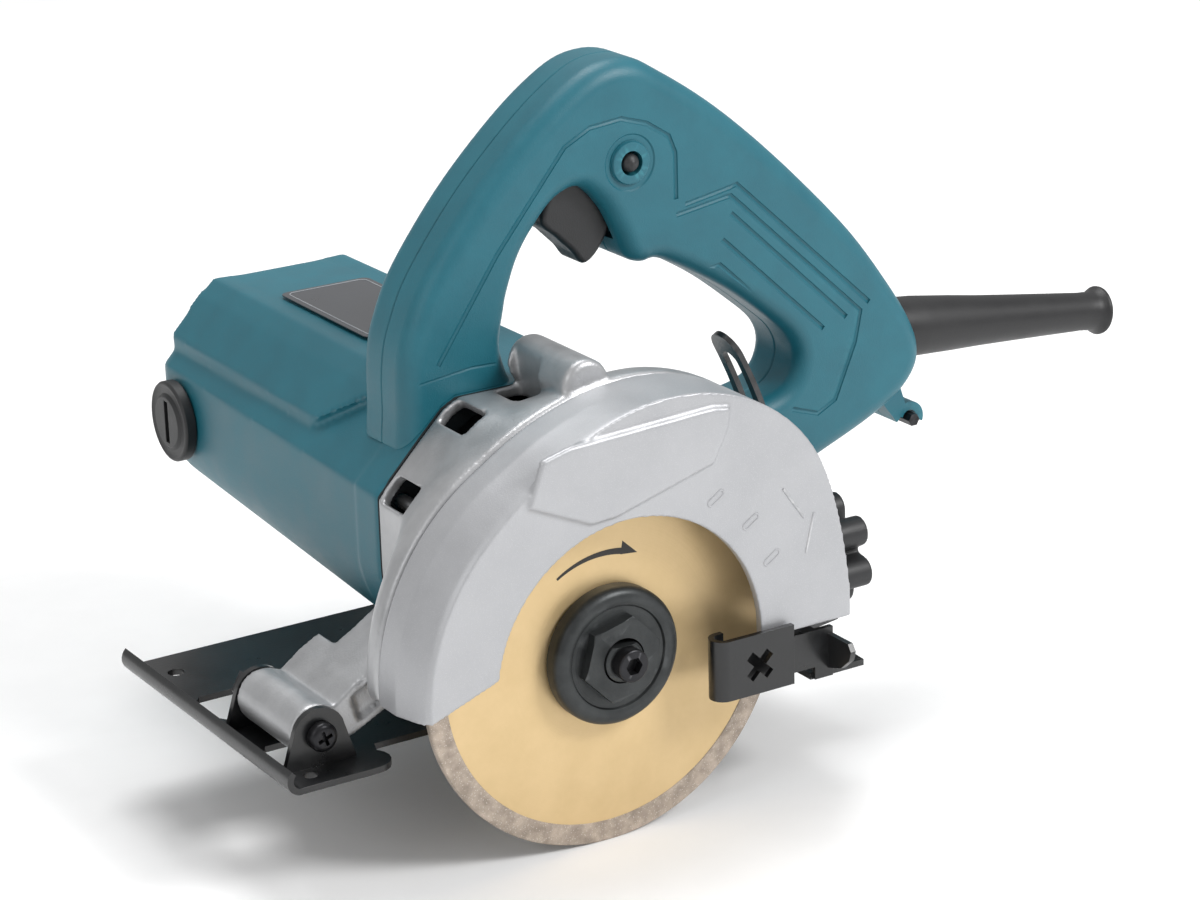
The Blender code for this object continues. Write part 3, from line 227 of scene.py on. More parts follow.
def turning_group():
    """Fine rings about a centre, as a lathe or a grinder leaves them, as a height."""
    group = effect("turning_marks", (("Centre", VECTOR, None), ("Pitch", FLOAT, 900.0)),
                   (("Height", FLOAT),))
    entry, leave = add(group, 'NodeGroupInput'), add(group, 'NodeGroupOutput')
    place = add(group, 'ShaderNodeTexCoord')
    move, flat, length = (add(group, 'ShaderNodeVectorMath') for _ in range(3))
    move.operation, flat.operation, length.operation = 'SUBTRACT', 'MULTIPLY', 'LENGTH'
    flat.inputs[1].default_value = (1.0, 0.0, 1.0)
    rings = add(group, 'ShaderNodeTexNoise', {"Detail": 4.0})
    rings.noise_dimensions = '1D'
    join(group, (place, "Object", move, 0), (entry, "Centre", move, 1), (move, "Vector", flat, 0),
         (flat, "Vector", length, 0), (length, "Value", rings, "W"),
         (entry, "Pitch", rings, "Scale"), (rings, "Fac", leave, "Height"))
    return group


surface_grain, edge_wear, turning_marks = grain_group(), wear_group(), turning_group()


def finish(name, dark, light, rough, metallic=0.0, grain=(900.0, 0.1), cloud=40.0,
           wear=None, rings=None, coat=0.0, speck=None):
    """A finish: two near colours mixed by a cloud, with grain, and wear or rings if it has them."""
    made = bpy.data.materials.new(name)
    made.use_nodes = True
    tree = made.node_tree
    shader = tree.nodes["Principled BSDF"]
    shader.inputs["Metallic"].default_value = metallic
    shader.inputs["Coat Weight"].default_value = coat
    shader.inputs["Coat Roughness"].default_value = 0.2
    detail = add(tree, 'ShaderNodeGroup', {"Grain scale": grain[0], "Grain depth": grain[1],
                                           "Cloud scale": cloud}, surface_grain)
    ramp = add(tree, 'ShaderNodeValToRGB')
    for index, (position, colour) in enumerate(((0.36, dark), (0.64, light))):
        ramp.color_ramp.elements[index].position = position
        ramp.color_ramp.elements[index].color = (*colour, 1.0)
    gloss = add(tree, 'ShaderNodeMapRange', {"From Min": 0.3, "From Max": 0.7,
                                             "To Min": rough[0], "To Max": rough[1]})
    join(tree, (detail, "Cloud", ramp, "Fac"), (detail, "Cloud", gloss, "Value"),
         (gloss, "Result", shader, "Roughness"))
    colour, normal = (ramp, "Color"), (detail, "Normal")
    if speck:
        place = add(tree, 'ShaderNodeTexCoord')
        dots = add(tree, 'ShaderNodeTexVoronoi', {"Scale": speck[0]})
        size = add(tree, 'ShaderNodeMapRange', {"From Min": 0.10, "From Max": 0.26,
                                                "To Min": 1.0, "To Max": 0.0})
        blend = add(tree, 'ShaderNodeMixRGB', {"Color2": (*speck[1], 1.0)})
        join(tree, (place, "Object", dots, "Vector"), (dots, "Distance", size, "Value"),
             (size, "Result", blend, "Fac"), (*colour, blend, "Color1"))
        colour = (blend, "Color")
    if wear:
        worn = add(tree, 'ShaderNodeGroup', {"Start": wear[1], "Full": wear[2]}, edge_wear)
        blend = add(tree, 'ShaderNodeMixRGB', {"Color2": (*wear[0], 1.0)})
        join(tree, (worn, "Wear", blend, "Fac"), (*colour, blend, "Color1"))
        colour = (blend, "Color")
    if rings:
        lines = add(tree, 'ShaderNodeGroup', {"Centre": rings[0], "Pitch": rings[1]},
                    turning_marks)
        bump = add(tree, 'ShaderNodeBump', {"Strength": rings[2], "Distance": BUMP_HEIGHT})
        join(tree, (lines, "Height", bump, "Height"), (*normal, bump, "Normal"))
        normal = (bump, "Normal")
    join(tree, (*colour, shader, "Base Color"), (*normal, shader, "Normal"))
    return made


SPINDLE = at(0, 60, 0)
gold_lacquer = finish("gold_lacquer_blade", (0.64, 0.47, 0.245), (0.70, 0.52, 0.28), (0.34, 0.44),
                      0.45, (2400.0, 0.08), 60.0, rings=(SPINDLE, 1500.0, 0.10))
diamond_grit = finish("sintered_diamond_grit", (0.30, 0.25, 0.205), (0.50, 0.42, 0.35),
                      (0.50, 0.68), 0.35, (3800.0, 0.8), 260.0, speck=(1500.0, (0.66, 0.60, 0.54)))
printed_black = finish("printed_black", (0.020, 0.018, 0.016), (0.032, 0.030, 0.027), (0.5, 0.6))


def diamond_blade():
    core = turned("blade_core", [(-CORE_HALF, BORE_R), (-CORE_HALF, CORE_R), (CORE_HALF, CORE_R),
                                 (CORE_HALF, BORE_R)], (0, 0, 0), sides=160,
                  paint=gold_lacquer, ring=True)
    fit(crisp(core), "spindle", "gold_lacquer", "diamond_blade")
    rim = turned("blade_grit_rim",
                 [(-CORE_HALF, CORE_R - 0.15), (-RIM_HALF, CORE_R), (-RIM_HALF, BLADE_R - 0.35),
                  (-0.8, BLADE_R), (0.8, BLADE_R), (RIM_HALF, BLADE_R - 0.35),
                  (RIM_HALF, CORE_R), (CORE_HALF, CORE_R - 0.15)],
                 (0, 0, 0), sides=200, paint=diamond_grit, ring=True)
    fit(crisp(rim), "spindle", "gold_lacquer")


def turning_arrow():
    """Curved arrow for the way the blade turns, as a film of print on the blank."""
    bm = bmesh.new()
    steps, edges = 24, []
    for step in range(steps + 1):
        angle = radians(122 - 44 * step / steps)
        half = 0.35 + 0.55 * step / steps
        edges.append(bm.edges.new([bm.verts.new(at(r * cos(angle), PRINT_Y, r * sin(angle)))
                                   for r in (ARROW_R - half, ARROW_R + half)]))
    for near, far in zip(edges, edges[1:]):
        bmesh.ops.bridge_loops(bm, edges=[near, far])
    head = [bm.verts.new(at(r * cos(radians(a)), PRINT_Y, r * sin(radians(a))))
            for r, a in ((30.4, 79), (ARROW_R, 68), (26.6, 79))]
    bmesh.ops.contextual_create(bm, geom=head)
    bmesh.ops.solidify(bm, geom=bm.faces[:], thickness=0.00003)
    fit(piece("blade_turning_arrow", bm, printed_black), "spindle", "gold_lacquer")


diamond_blade()
turning_arrow()


# ---------------------------------------------------------------- flanges and arbor bolt
# Turned steel blackened by heat: a cupped outer flange with a hexagon for the spanner,
# the ground spindle nose with its flat, and a socket bolt that draws them together.
blackened_steel = finish("blackened_turned_steel", (0.030, 0.033, 0.034), (0.052, 0.056, 0.057),
                         (0.36, 0.46), 0.55, (1700.0, 0.16), 90.0,
                         wear=((0.075, 0.08, 0.082), 0.55, 0.68), rings=(SPINDLE, 1300.0, 0.16))
ground_steel = finish("ground_steel", (0.46, 0.47, 0.48), (0.60, 0.61, 0.62), (0.22, 0.34), 1.0,
                      (1500.0, 0.08), 70.0, rings=(SPINDLE, 1700.0, 0.15))
black_screw = finish("black_oxide_screw", (0.014, 0.014, 0.016), (0.028, 0.028, 0.031), (0.30, 0.42),
                     0.7, (1600.0, 0.12), 80.0, wear=((0.14, 0.14, 0.15), 0.54, 0.62))


def carve(made, tools, operation='DIFFERENCE'):
    for tool in tools:
        step = made.modifiers.new("carve", 'BOOLEAN')
        step.operation = operation
        step.solver = 'EXACT'
        step.object = tool
    settle(made)
    for tool in tools:
        bpy.data.objects.remove(tool, do_unlink=True)
    return made


def closed_loop(bm, corners):
    return [bm.edges.new(pair) for pair in zip(corners, corners[1:] + corners[:1])]


def bridged(name, bm, loops, paint=None):
    """Join closed loops in turn, and close the two ends."""
    for low, high in zip(loops, loops[1:]):
        bmesh.ops.bridge_loops(bm, edges=low + high)
    for end in (loops[0], loops[-1]):
        bmesh.ops.contextual_create(bm, geom=end)
    return piece(name, bm, paint)


def skinned(name, rings, axis='y', paint=None):
    """A closed body through (distance, outline) rings along an axis."""
    places = {'y': lambda a, b, along: at(a, along, b), 'x': lambda a, b, along: at(along, a, b),
              'z': lambda a, b, along: at(a, b, along)}
    bm = bmesh.new()
    loops = [closed_loop(bm, [bm.verts.new(places[axis](a, b, along)) for a, b in outline])
             for along, outline in rings]
    return bridged(name, bm, loops, paint)


def slab(name, outline, axis, start, end, paint=None):
    return skinned(name, [(start, outline), (end, outline)], axis, paint)


def block(name, low, high):
    return slab(name, [(low[0], low[2]), (high[0], low[2]), (high[0], high[2]), (low[0], high[2])],
                'y', low[1], high[1])


def polar(radius, degrees, centre=(0.0, 0.0)):
    return (centre[0] + radius * cos(radians(degrees)), centre[1] + radius * sin(radians(degrees)))


def arc(centre, radius, start, end, steps):
    return [polar(radius, start + (end - start) * i / steps, centre) for i in range(steps + 1)]


def outer_flange():
    lip = [(-4.6 - 2.8 * sin(radians(a)), 16.4 + 2.9 * cos(radians(a))) for a in range(0, 91, 15)]
    cup = [(-1.45, 6.3), (-1.45, 18.9), (-1.85, 19.3)] + lip + [(-7.4, 15.6), (-7.0, 14.6),
                                                                (-6.4, 14.2), (-6.4, 6.3)]
    flange = turned("outer_flange_cup", cup, (0, 0, 0), sides=96, paint=blackened_steel, ring=True)
    hexagon = slab("hexagon", arc((0, 0), 12.2, 14, 314, 5), 'y', -9.6, -5.9)
    chamfer = turned("chamfer", [(-5.5, 14.0), (-8.7, 12.6), (-10.2, 10.0)], (0, 0, 0))
    carve(hexagon, [chamfer], 'INTERSECT')
    carve(flange, [hexagon], 'UNION')
    carve(flange, [turned("bore", [(-11, 6.3), (0, 6.3)], (0, 0, 0), sides=64)])
    break_edges(flange, 0.25, 2)
    fit(flange, "spindle", "blackened_flange", "outer_flange")


def spindle_nose():
    nose = turned("spindle_with_nose",
                  [(-10.6, 5.0), (-9.9, 5.8), (6.9, 5.8), (6.9, 7.6), (9.9, 7.6), (9.9, 5.9),
                   (32.6, 5.9), (32.6, 3.9), (38.8, 3.9), (39.2, 3.5)],
                  (0, 0, 0), sides=64, paint=blackened_steel)
    carve(nose, [turned("thread_hole", [(-12, 3.2), (6.0, 3.2)], (0, 0, 0), sides=40),
                 block("flat", (-8, -12, 4.5), (8, -3.2, 9))])
    break_edges(nose, 0.2, 2)
    fit(nose, "spindle", "bright_steel", "spindle")


def arbor_bolt():
    bolt = turned("arbor_socket_bolt",
                  [(-14.6, 4.1), (-14.35, 4.45), (-14.0, 4.6), (-10.9, 4.6), (-10.9, 2.9),
                   (4.1, 2.9), (4.5, 2.5)], (0, 0, 0), sides=48, paint=black_screw)
    carve(bolt, [slab("socket", arc((0, 0), 2.5, 0, 300, 5), 'y', -15.5, -12.0)])
    break_edges(bolt, 0.15, 2)
    fit(bolt, "spindle", "black_steel", "arbor_bolt")


outer_flange()
spindle_nose()
arbor_bolt()


# ---------------------------------------------------------------- gear case
# One aluminium die casting, blasted to an even satin: it holds the gears, lets the fan's
# air out between ribs, and carries the depth pivot's arm and the clamp's lug.
cast_aluminium = finish("blasted_cast_aluminium", (0.40, 0.405, 0.415), (0.50, 0.505, 0.515),
                        (0.38, 0.48), 0.70, (1500.0, 0.42), 60.0,
                        wear=((0.62, 0.62, 0.63), 0.54, 0.66))
MOTOR_Z = 26.0
CASE_END_Y = 39.7
HOUSING_FRONT, HOUSING_BACK = 40.0, 186.0
PIVOT = (-77.7, -10.2)
GUIDE_Y, CLAMP_Z = 34.0, -4.0
GUARD_SEAM_Y = 8.0
GUARD_SCREWS = (polar(64.5, 84.0), polar(69.5, 50.0))
HOUSING_SCREWS = ((-37.0, 38.0), (37.0, 38.0), (-33.5, 6.0), (33.5, 6.0))
GUARD_SCREW_R, HOUSING_SCREW_R, SCREW_HEAD_R = 2.3, 2.35, 4.4


def grown(outline, distance):
    """Move a closed outline out of itself, or inwards when negative."""
    count = len(outline)
    area = sum(outline[i][0] * outline[(i + 1) % count][1]
               - outline[(i + 1) % count][0] * outline[i][1] for i in range(count))
    side = 1.0 if area > 0 else -1.0
    moved = []
    for i in range(count):
        along = (Vector(outline[(i + 1) % count]) - Vector(outline[i - 1])).normalized()
        moved.append((outline[i][0] + along.y * distance * side,
                      outline[i][1] - along.x * distance * side))
    return moved


def housing_outline(y, growth=0.0):
    t = (y - HOUSING_FRONT) / (HOUSING_BACK - HOUSING_FRONT)
    half, drop = 44.5 - 4.5 * t, 38.0 - 11.0 * t
    under = [(half * cos(a), 22.0 + drop * sin(a)) for a in (pi + pi * i / 48 for i in range(49))]
    right = [(half, 40.5), (half - 14.0, 55.0), (half - 21.0, 61.7), (half - 25.0, 63.7)]
    left = [(-x, z) for x, z in reversed(right)]
    return grown(under + right + left, growth)


GUARD_TABLE = ((-2, 70.4), (12, 70.4), (23, 72.0), (32, 74.3), (40, 76.3), (50, 77.0), (60, 76.4),
               (70, 75.0), (84, 71.5), (100, 67.6), (118, 64.5), (190, 64.5))


def guard_radius(degrees, pinch):
    for (a0, r0), (a1, r1) in zip(GUARD_TABLE, GUARD_TABLE[1:]):
        if degrees <= a1:
            radius = r0 + (r1 - r0) * (degrees - a0) / (a1 - a0)
            break
    return radius - 3.2 * pinch * min(1.0, max(0.0, (degrees - 84.0) / 45.0))


def guard_outline(pinch, shrink=0.0, foot=None):
    first, last, steps = -2.0, 182.2, 150
    points = []
    for i in range(steps + 1):
        degrees = first + (last - first) * i / steps
        near = [guard_radius(min(last, max(first, degrees + d)), pinch) for d in (-4, -2, 0, 2, 4)]
        points.append(polar(sum(near) / len(near) - shrink, degrees))
    if foot is not None:
        points += [(points[-1][0], foot), (points[0][0], foot)]
    return points


def reach(outline, centre, ray):
    """How far a ray from inside a closed outline runs before it leaves."""
    best = 0.0
    for i in range(len(outline)):
        a, b = Vector(outline[i]) - centre, Vector(outline[(i + 1) % len(outline)]) - centre
        edge = b - a
        across = ray.x * edge.y - ray.y * edge.x
        if abs(across) < 1e-9:
            continue
        along = (a.x * edge.y - a.y * edge.x) / across
        share = (a.x * ray.y - a.y * ray.x) / across
        if along > 0 and -1e-9 <= share <= 1 + 1e-9:
            best = max(best, along)
    return best


def case_rings(stations, wall=0.0):
    """The case's skin: the guard's outline at its front eases into the motor housing's."""
    centre, steps = Vector((0.0, 24.0)), 144
    guard, housing = guard_outline(0.0), housing_outline(HOUSING_FRONT, 0.4)
    rays = [Vector((cos(2 * pi * i / steps), sin(2 * pi * i / steps))) for i in range(steps)]
    spans = [(reach(guard, centre, ray), reach(housing, centre, ray)) for ray in rays]
    rings = []
    for y in stations:
        t = min(1.0, max(0.0, (y - 13.0) / 17.0))
        ease = t * t * (3 - 2 * t)
        points = [centre + ray * (near + (far - near) * ease - wall)
                  for ray, (near, far) in zip(rays, spans)]
        rings.append((y, [(p.x, p.y) for p in points]))
    return rings


def mould(made, voxel, passes=3):
    """Give a casting or moulding its small radius on every edge and inner corner."""
    skin = made.modifiers.new("mould_skin", 'REMESH')
    skin.mode = 'VOXEL'
    skin.voxel_size = voxel * 0.001
    skin.use_smooth_shade = True
    ease = made.modifiers.new("mould_radius", 'SMOOTH')
    ease.factor = 0.5
    ease.iterations = passes
    settle(made)
    made.data.shade_smooth()
    return made


def bar_outline(centre, degrees, start, end, half):
    """The corners of a straight bar that points away from a centre."""
    centre, way = Vector(centre), Vector(polar(1.0, degrees))
    side = Vector((-way.y, way.x)) * half
    return [tuple(corner) for corner in (centre + way * start - side, centre + way * end - side,
                                         centre + way * end + side, centre + way * start + side)]


def gear_case():
    stations = [9.3, 13.0, 15.5, 18.0, 21.0, 24.0, 27.0, 30.0, CASE_END_Y]
    case = skinned("gear_case_casting", case_rings([8.3], 1.1) + case_rings(stations),
                   paint=cast_aluminium)
    carve(case, [skinned("air_space", case_rings([14.5, 18, 21, 24, 27, 30, CASE_END_Y + 1], 3.4))])
    arm = slab("arm", [(-44, 13), (-55, 6.0), (-66, 0.0), (-72, -4.4)] + arc(PIVOT, 7.5, 62, 285, 40)
               + [(-66, -13.5), (-52, -6.5), (-40, -2.5)], 'y', 17.6, 48.7)
    carve(arm, [block("relief", (-60, CASE_END_Y - 0.1, -30), (-36, 50, 40)),
                slab("pocket", [(-67, -3.2), (-56, 2.2), (-54, -4.5), (-65, -10.6)], 'y', 15, 19.2)])
    carve(case, [turned("gear_wall", [(9.0, 20.3), (39.5, 20.3)], (0, 0, 0)),
                 turned("pinion_wall", [(9.0, 16.6), (39.5, 16.6)], (0, 0, MOTOR_Z)), arm,
                 block("lug", (33, GUIDE_Y - 6, CLAMP_Z - 8), (79.6, GUIDE_Y + 5.5, CLAMP_Z + 8)),
                 turned("boss", [(9.5, 5.8), (10.8, 7.0), (CASE_END_Y, 7.0)], (3.0, 0, 70.4))],
          'UNION')
    tools = [turned("gear_space",
                    [(7.0, 7.9), (9.0, 7.9), (9.0, 9.6), (10.2, 9.6), (10.2, 16.15),
                     (19.7, 16.15), (19.7, 18.5), (CASE_END_Y + 1, 18.5)], (0, 0, 0)),
             turned("pinion_space", [(19.7, 10.6), (32.5, 10.6), (32.5, 14.4),
                                     (CASE_END_Y + 1, 14.4)], (0, 0, MOTOR_Z)),
             turned("pivot_bore", [(15, 3.4), (52, 3.4)], (PIVOT[0], 0, PIVOT[1])),
             turned("stud_bore", [(62, 3.3), (82, 3.3)], (0, GUIDE_Y, CLAMP_Z), 'x')]
    for degrees in (96.0, 117.0, 147.0):
        tools.append(slab("vent", bar_outline((0.0, 16.0), degrees, 34, 62, 4.2), 'y', 24.0, 38.0))
    for x, z in HOUSING_SCREWS:
        tools.append(turned("screw_bore", [(7, SCREW_HEAD_R), (16.2, SCREW_HEAD_R),
                                           (16.2, HOUSING_SCREW_R), (42, HOUSING_SCREW_R)],
                            (x, 0, z), sides=32))
    for x, z in GUARD_SCREWS:
        tools.append(turned("guard_bore", [(7, GUARD_SCREW_R), (12.4, GUARD_SCREW_R),
                                           (12.4, SCREW_HEAD_R), (32, SCREW_HEAD_R)],
                            (x, 0, z), sides=32))
    carve(case, tools)
    mould(case, 0.78, 3)
    fit(case, "housing", "cast_aluminium", "gear_housing")


gear_case()


# ---------------------------------------------------------------- blade guard
# Die-cast cover over the upper blade in satin silver paint. The maker's panel is blank;
# three raised ovals and two raised lines stand on its face.
silver_paint = finish("satin_silver_paint", (0.40, 0.405, 0.42), (0.44, 0.445, 0.46), (0.38, 0.48),
                      0.40, (2300.0, 0.22), 45.0, wear=((0.60, 0.60, 0.61), 0.55, 0.68),
                      speck=(2600.0, (0.54, 0.545, 0.56)))
FACE_Y = -14.0


def blade_guard():
    rings = [(GUARD_SEAM_Y, 0.0, 1.1), (GUARD_SEAM_Y - 1.0, 0.0, 0.0), (-2.0, 0.0, 0.0),
             (-5.0, 0.28, 0.0), (-9.0, 0.62, 0.0), (-12.6, 0.95, 0.0), (FACE_Y, 1.25, 0.0)]
    guard = skinned("blade_guard_cast", [(y, guard_outline(p, s)) for y, p, s in rings],
                    paint=silver_paint)
    badge = [(-30.5, 50.5), (-26.2, 62.5), (-18, 64.6), (26.0, 66.5), (31.5, 65.5),
             (30.5, 59.5), (26.0, 51.0), (-4.5, 42.6), (-12.1, 42.2)]
    panel = skinned("panel", [(FACE_Y + 0.6, badge), (FACE_Y - 0.5, badge),
                              (FACE_Y - 1.3, grown(badge, -0.7))])
    carve(guard, [panel], 'UNION')
    inside = [(GUARD_SEAM_Y + 1, 0.0), (-2.0, 0.0), (-11.2, 1.0)]
    carve(guard, [skinned("inside", [(y, guard_outline(p, 2.6, -30.0)) for y, p in inside])])
    arch = arc((0, 0), 40.8, 0, 172, 120) + [(-62.5, -2.4), (-62.5, -20), (41.5, -20)]
    carve(guard, [slab("arch", arch, 'y', FACE_Y - 3, -9.0)])
    posts, bores = [], []
    for x, z in GUARD_SCREWS:
        posts.append(turned("post", [(-12.5, 4.6), (GUARD_SEAM_Y, 4.6)], (x, 0, z), sides=40))
        bores.append(turned("bore", [(-4.0, GUARD_SCREW_R), (GUARD_SEAM_Y + 1, GUARD_SCREW_R)],
                            (x, 0, z), sides=32))
    carve(guard, posts, 'UNION')
    carve(guard, bores)
    mould(guard, 0.56, 2)
    fit(guard, "housing", "silver_paint", "blade_guard")


def wires(name, paths, radius, paint=None, closed=False, sides=3):
    """Round bars along layout points, as one mesh."""
    curve = bpy.data.curves.new(name, 'CURVE')
    curve.dimensions = '3D'
    curve.bevel_depth = radius * 0.001
    curve.bevel_resolution = sides
    curve.use_fill_caps = True
    for path in paths:
        spline = curve.splines.new('POLY')
        spline.points.add(len(path) - 1)
        for slot, point in zip(spline.points, path):
            slot.co = (*at(*point), 1.0)
        spline.use_cyclic_u = closed
    shape = bpy.data.objects.new(name, curve)
    bpy.context.scene.collection.objects.link(shape)
    bpy.context.view_layer.update()
    mesh = bpy.data.meshes.new_from_object(
        shape.evaluated_get(bpy.context.evaluated_depsgraph_get()))
    bpy.data.objects.remove(shape, do_unlink=True)
    bm = bmesh.new()
    bm.from_mesh(mesh)
    return piece(name, bm, paint)


def guard_marks():
    mark_y = FACE_Y + 0.1
    turn = Matrix.Rotation(radians(33), 2)
    ends = arc((1.9, 0), 0.85, -90, 90, 8) + arc((-1.9, 0), 0.85, 90, 270, 8)
    oval = [turn @ Vector(end) for end in ends]
    ovals = [[(x + p.x, mark_y, z + p.y) for p in oval]
             for x, z in ((26.8, 41.0), (37.8, 32.1), (44.4, 20.4))]
    crisp(fit(wires("guard_ovals", ovals, 0.36, silver_paint, True), "housing", "silver_paint"))
    lines = [[(48.2, mark_y, 39.0), (54.9, mark_y, 29.5)],
             [(58.2, mark_y, 30.2), (55.5, mark_y, 19.3)]]
    crisp(fit(wires("guard_lines", lines, 0.42, silver_paint), "housing", "silver_paint"))


blade_guard()
guard_marks()


# ---------------------------------------------------------------- motor housing
# Glass-filled nylon moulding round the motor, screwed to the gear case. Its mould leaves
# a fine spark texture, ridges along the sides and a square shoulder on each top corner.
teal_nylon = finish("teal_nylon_moulding", (0.0085, 0.112, 0.152), (0.0115, 0.131, 0.175),
                    (0.40, 0.50), 0.0, (2600.0, 0.34), 55.0,
                    wear=((0.030, 0.200, 0.245), 0.54, 0.66))
# Near-black colour painted on the housing's inner walls and on its front face against the gear case:
# painted shade, not a material of the housing.
painted_shade_inside = finish("painted_shade_on_nylon", (0.006, 0.009, 0.010), (0.012, 0.020, 0.024),
                    (0.60, 0.75), 0.0, (1200.0, 0.5), 80.0)
MOTOR_AXIS = at(0, 60, MOTOR_Z)
BRUSHES = (0, 171, MOTOR_Z)


def housing_shoulder(side):
    outline = [(37.6, 40.0), (38.6, 49.0), (28.5, 60.0), (22.5, 64.3), (8, 63.0), (8, 52), (25, 40)]
    bm = bmesh.new()
    loops = []
    for back in (False, True):
        shrink = 0.955 if back else 1.0
        corners = []
        for x, z in outline:
            y = HOUSING_BACK - 4.0 if back else 97.0 - 1.7 * (z - 42.0)
            corners.append(bm.verts.new(at(x * side * shrink, y, z - (0.2 if back else 0.0))))
        loops.append(closed_loop(bm, corners))
    bmesh.ops.bridge_loops(bm, edges=loops[0] + loops[1])
    for loop in loops:
        bmesh.ops.triangle_fill(bm, edges=loop, use_beauty=True)
    return piece("shoulder", bm)


def motor_housing():
    last = HOUSING_BACK
    rings = [(HOUSING_FRONT, housing_outline(HOUSING_FRONT, 0.3)),
             (53.0, housing_outline(53.0, 0.3)), (54.2, housing_outline(54.2, -0.1)),
             (last - 7.0, housing_outline(last - 7.0))]
    for turn in (20, 40, 60, 80):
        rings.append((last - 7.0 * (1.0 - sin(radians(turn))),
                      housing_outline(last, -5.0 * (1.0 - cos(radians(turn))))))
    rings.append((last, housing_outline(last, -5.4)))
    shell = skinned("motor_housing_shell", rings, paint=teal_nylon)
    carve(shell, [housing_shoulder(-1), housing_shoulder(1)], 'UNION')
    profile = [(39.0, 34.0), (62.0, 34.0), (62.0, 30.9), (119.0, 30.9), (119.0, 26.0),
               (177.0, 26.0), (177.0, 9.7), (183.1, 9.7)]
    tools = [turned("motor_space", profile, (0, 0, MOTOR_Z))]
    for side in (-1, 1):
        way = Vector((side, 0, 0))
        tools.append(turned("brush_bore", [(20, 6.4), (60, 6.4)], BRUSHES, way))
        tools.append(turned("brush_seat", [(40.9, 12.6), (60, 12.6)], BRUSHES, way))
    for x, z in HOUSING_SCREWS:
        tools.append(turned("screw_bore", [(38, HOUSING_SCREW_R), (60, HOUSING_SCREW_R)],
                            (x, 0, z), sides=24))
    carve(shell, tools)
    mould(shell, 1.0, 2)
    intakes = []
    for index in range(6):
        x, z = polar(18.0, 60 * index + 30, (0.0, MOTOR_Z))
        intakes.append(block("intake", (x - 5.0, 175, z - 1.3), (x + 5.0, last + 2, z + 1.3)))
    carve(shell, intakes)
    shell.data.set_sharp_from_angle(angle=radians(50))
    # Faces in the motor space, and the front face that meets the case, take the second, near-black
    # colour: painted shade for the inside and the joint.
    shell.data.materials.append(painted_shade_inside)
    seam, floor = at(0, 40.4, 0).y, at(0, 180, 0).y
    for face in shell.data.polygons:
        from_axis = Vector((face.center.x, face.center.z)) - Vector((MOTOR_AXIS.x, MOTOR_AXIS.z))
        if face.center.y < seam or (from_axis.length < 0.0352 and face.center.y < floor):
            face.material_index = 1
    fit(shell, "housing", "teal_nylon", "motor_housing")


motor_housing()


# ---------------------------------------------------------------- plate and brush caps
# A blank plate of dark film on the housing's top, and a slotted screw cap over each
# carbon brush, in a ring moulded round its seat.
label_film = finish("dark_label_film", (0.030, 0.033, 0.040), (0.044, 0.048, 0.056), (0.26, 0.36),
                    0.0, (1800.0, 0.06), 60.0, coat=0.3)
dark_plastic = finish("dark_nylon", (0.012, 0.0125, 0.0135), (0.019, 0.0195, 0.021), (0.40, 0.52), 0.0,
                      (2400.0, 0.26), 60.0, wear=((0.040, 0.041, 0.044), 0.55, 0.68))


def blank_plate():
    corner, outline = 2.5, []
    for x, y, start in ((11.5, 149.5, 0), (-12.5, 149.5, 90), (-12.5, 100.5, 180), (11.5, 100.5, 270)):
        outline += arc((x, y), corner, start, start + 90, 8)
    plate = slab("blank_plate", outline, 'z', 64.45, 64.85, label_film)
    border = [[(x * 0.88, 125 + (y - 125) * 0.94, 64.86) for x, y in outline]]
    fit(break_edges(plate, 0.12, 2), "housing", "label_film", "rating_label")
    fit(crisp(wires("plate_border", border, 0.16, finish(
        "pale_print", (0.33, 0.35, 0.37), (0.42, 0.44, 0.46), (0.4, 0.5)), True)), "housing",
        "label_film")


def brush_cap(name, side):
    way = Vector((side, 0, 0))
    cap = turned(name + "_slotted",
                 [(39.6, 5.9), (41.2, 5.9), (41.2, 12.2), (44.0, 12.2), (44.5, 11.9),
                  (44.7, 11.3), (44.3, 10.2), (44.3, 8.6), (44.8, 8.1), (45.2, 7.6)],
                 BRUSHES, way, 80, dark_plastic)
    low, high = sorted((side * 43.4, side * 47.0))
    carve(cap, [block("slot", (low, 169.8, MOTOR_Z - 6.4), (high, 172.2, MOTOR_Z + 6.4))])
    fit(break_edges(cap, 0.3, 3), "housing", "dark_plastic", name)


blank_plate()
brush_cap("brush_cap_front", -1)
brush_cap("brush_cap_rear", 1)


# ---------------------------------------------------------------- D handle
# Two nylon clamshells screwed together along their middle plane, with moulded outlines
# on the grip, a boss round the lock button and a clip for the hexagon key.
HANDLE_MID_Y = 54.0
HANDLE_OUTER_POINTS = [
    (-33.5, 46), (-34.5, 60), (-33.8, 74), (-31, 84), (-25, 96), (-11, 114), (4, 129),
    (17.5, 139.8), (29, 145.8), (40.5, 146.2), (50.5, 141), (65, 131.2), (80, 118.9),
    (96.7, 103.2), (113.5, 85.6), (126.5, 68.4), (134, 56.5), (137, 48), (136.0, 41), (130, 34),
    (119, 28), (104, 22), (85, 15), (62, 10), (40, 8), (22, 14), (4, 34), (-16, 44)]
HANDLE_INNER_POINTS = [
    (-3, 72), (-1.5, 84), (0.5, 91), (3.5, 98), (8, 104.5), (15, 111.5), (23, 113.5), (30, 107),
    (34.5, 98.5), (37.5, 91.5), (42, 89.2), (48, 89.2), (60, 83), (71, 76), (82, 67.3), (90, 60),
    (93, 53.5), (91.5, 47), (86.5, 42.8), (76, 41), (60, 42), (42, 45), (22, 52), (4, 58)]
HANDLE_SCREWS = ((-16.0, 92.0), (60.0, 122.0), (121.0, 60.0), (98.0, 36.0))
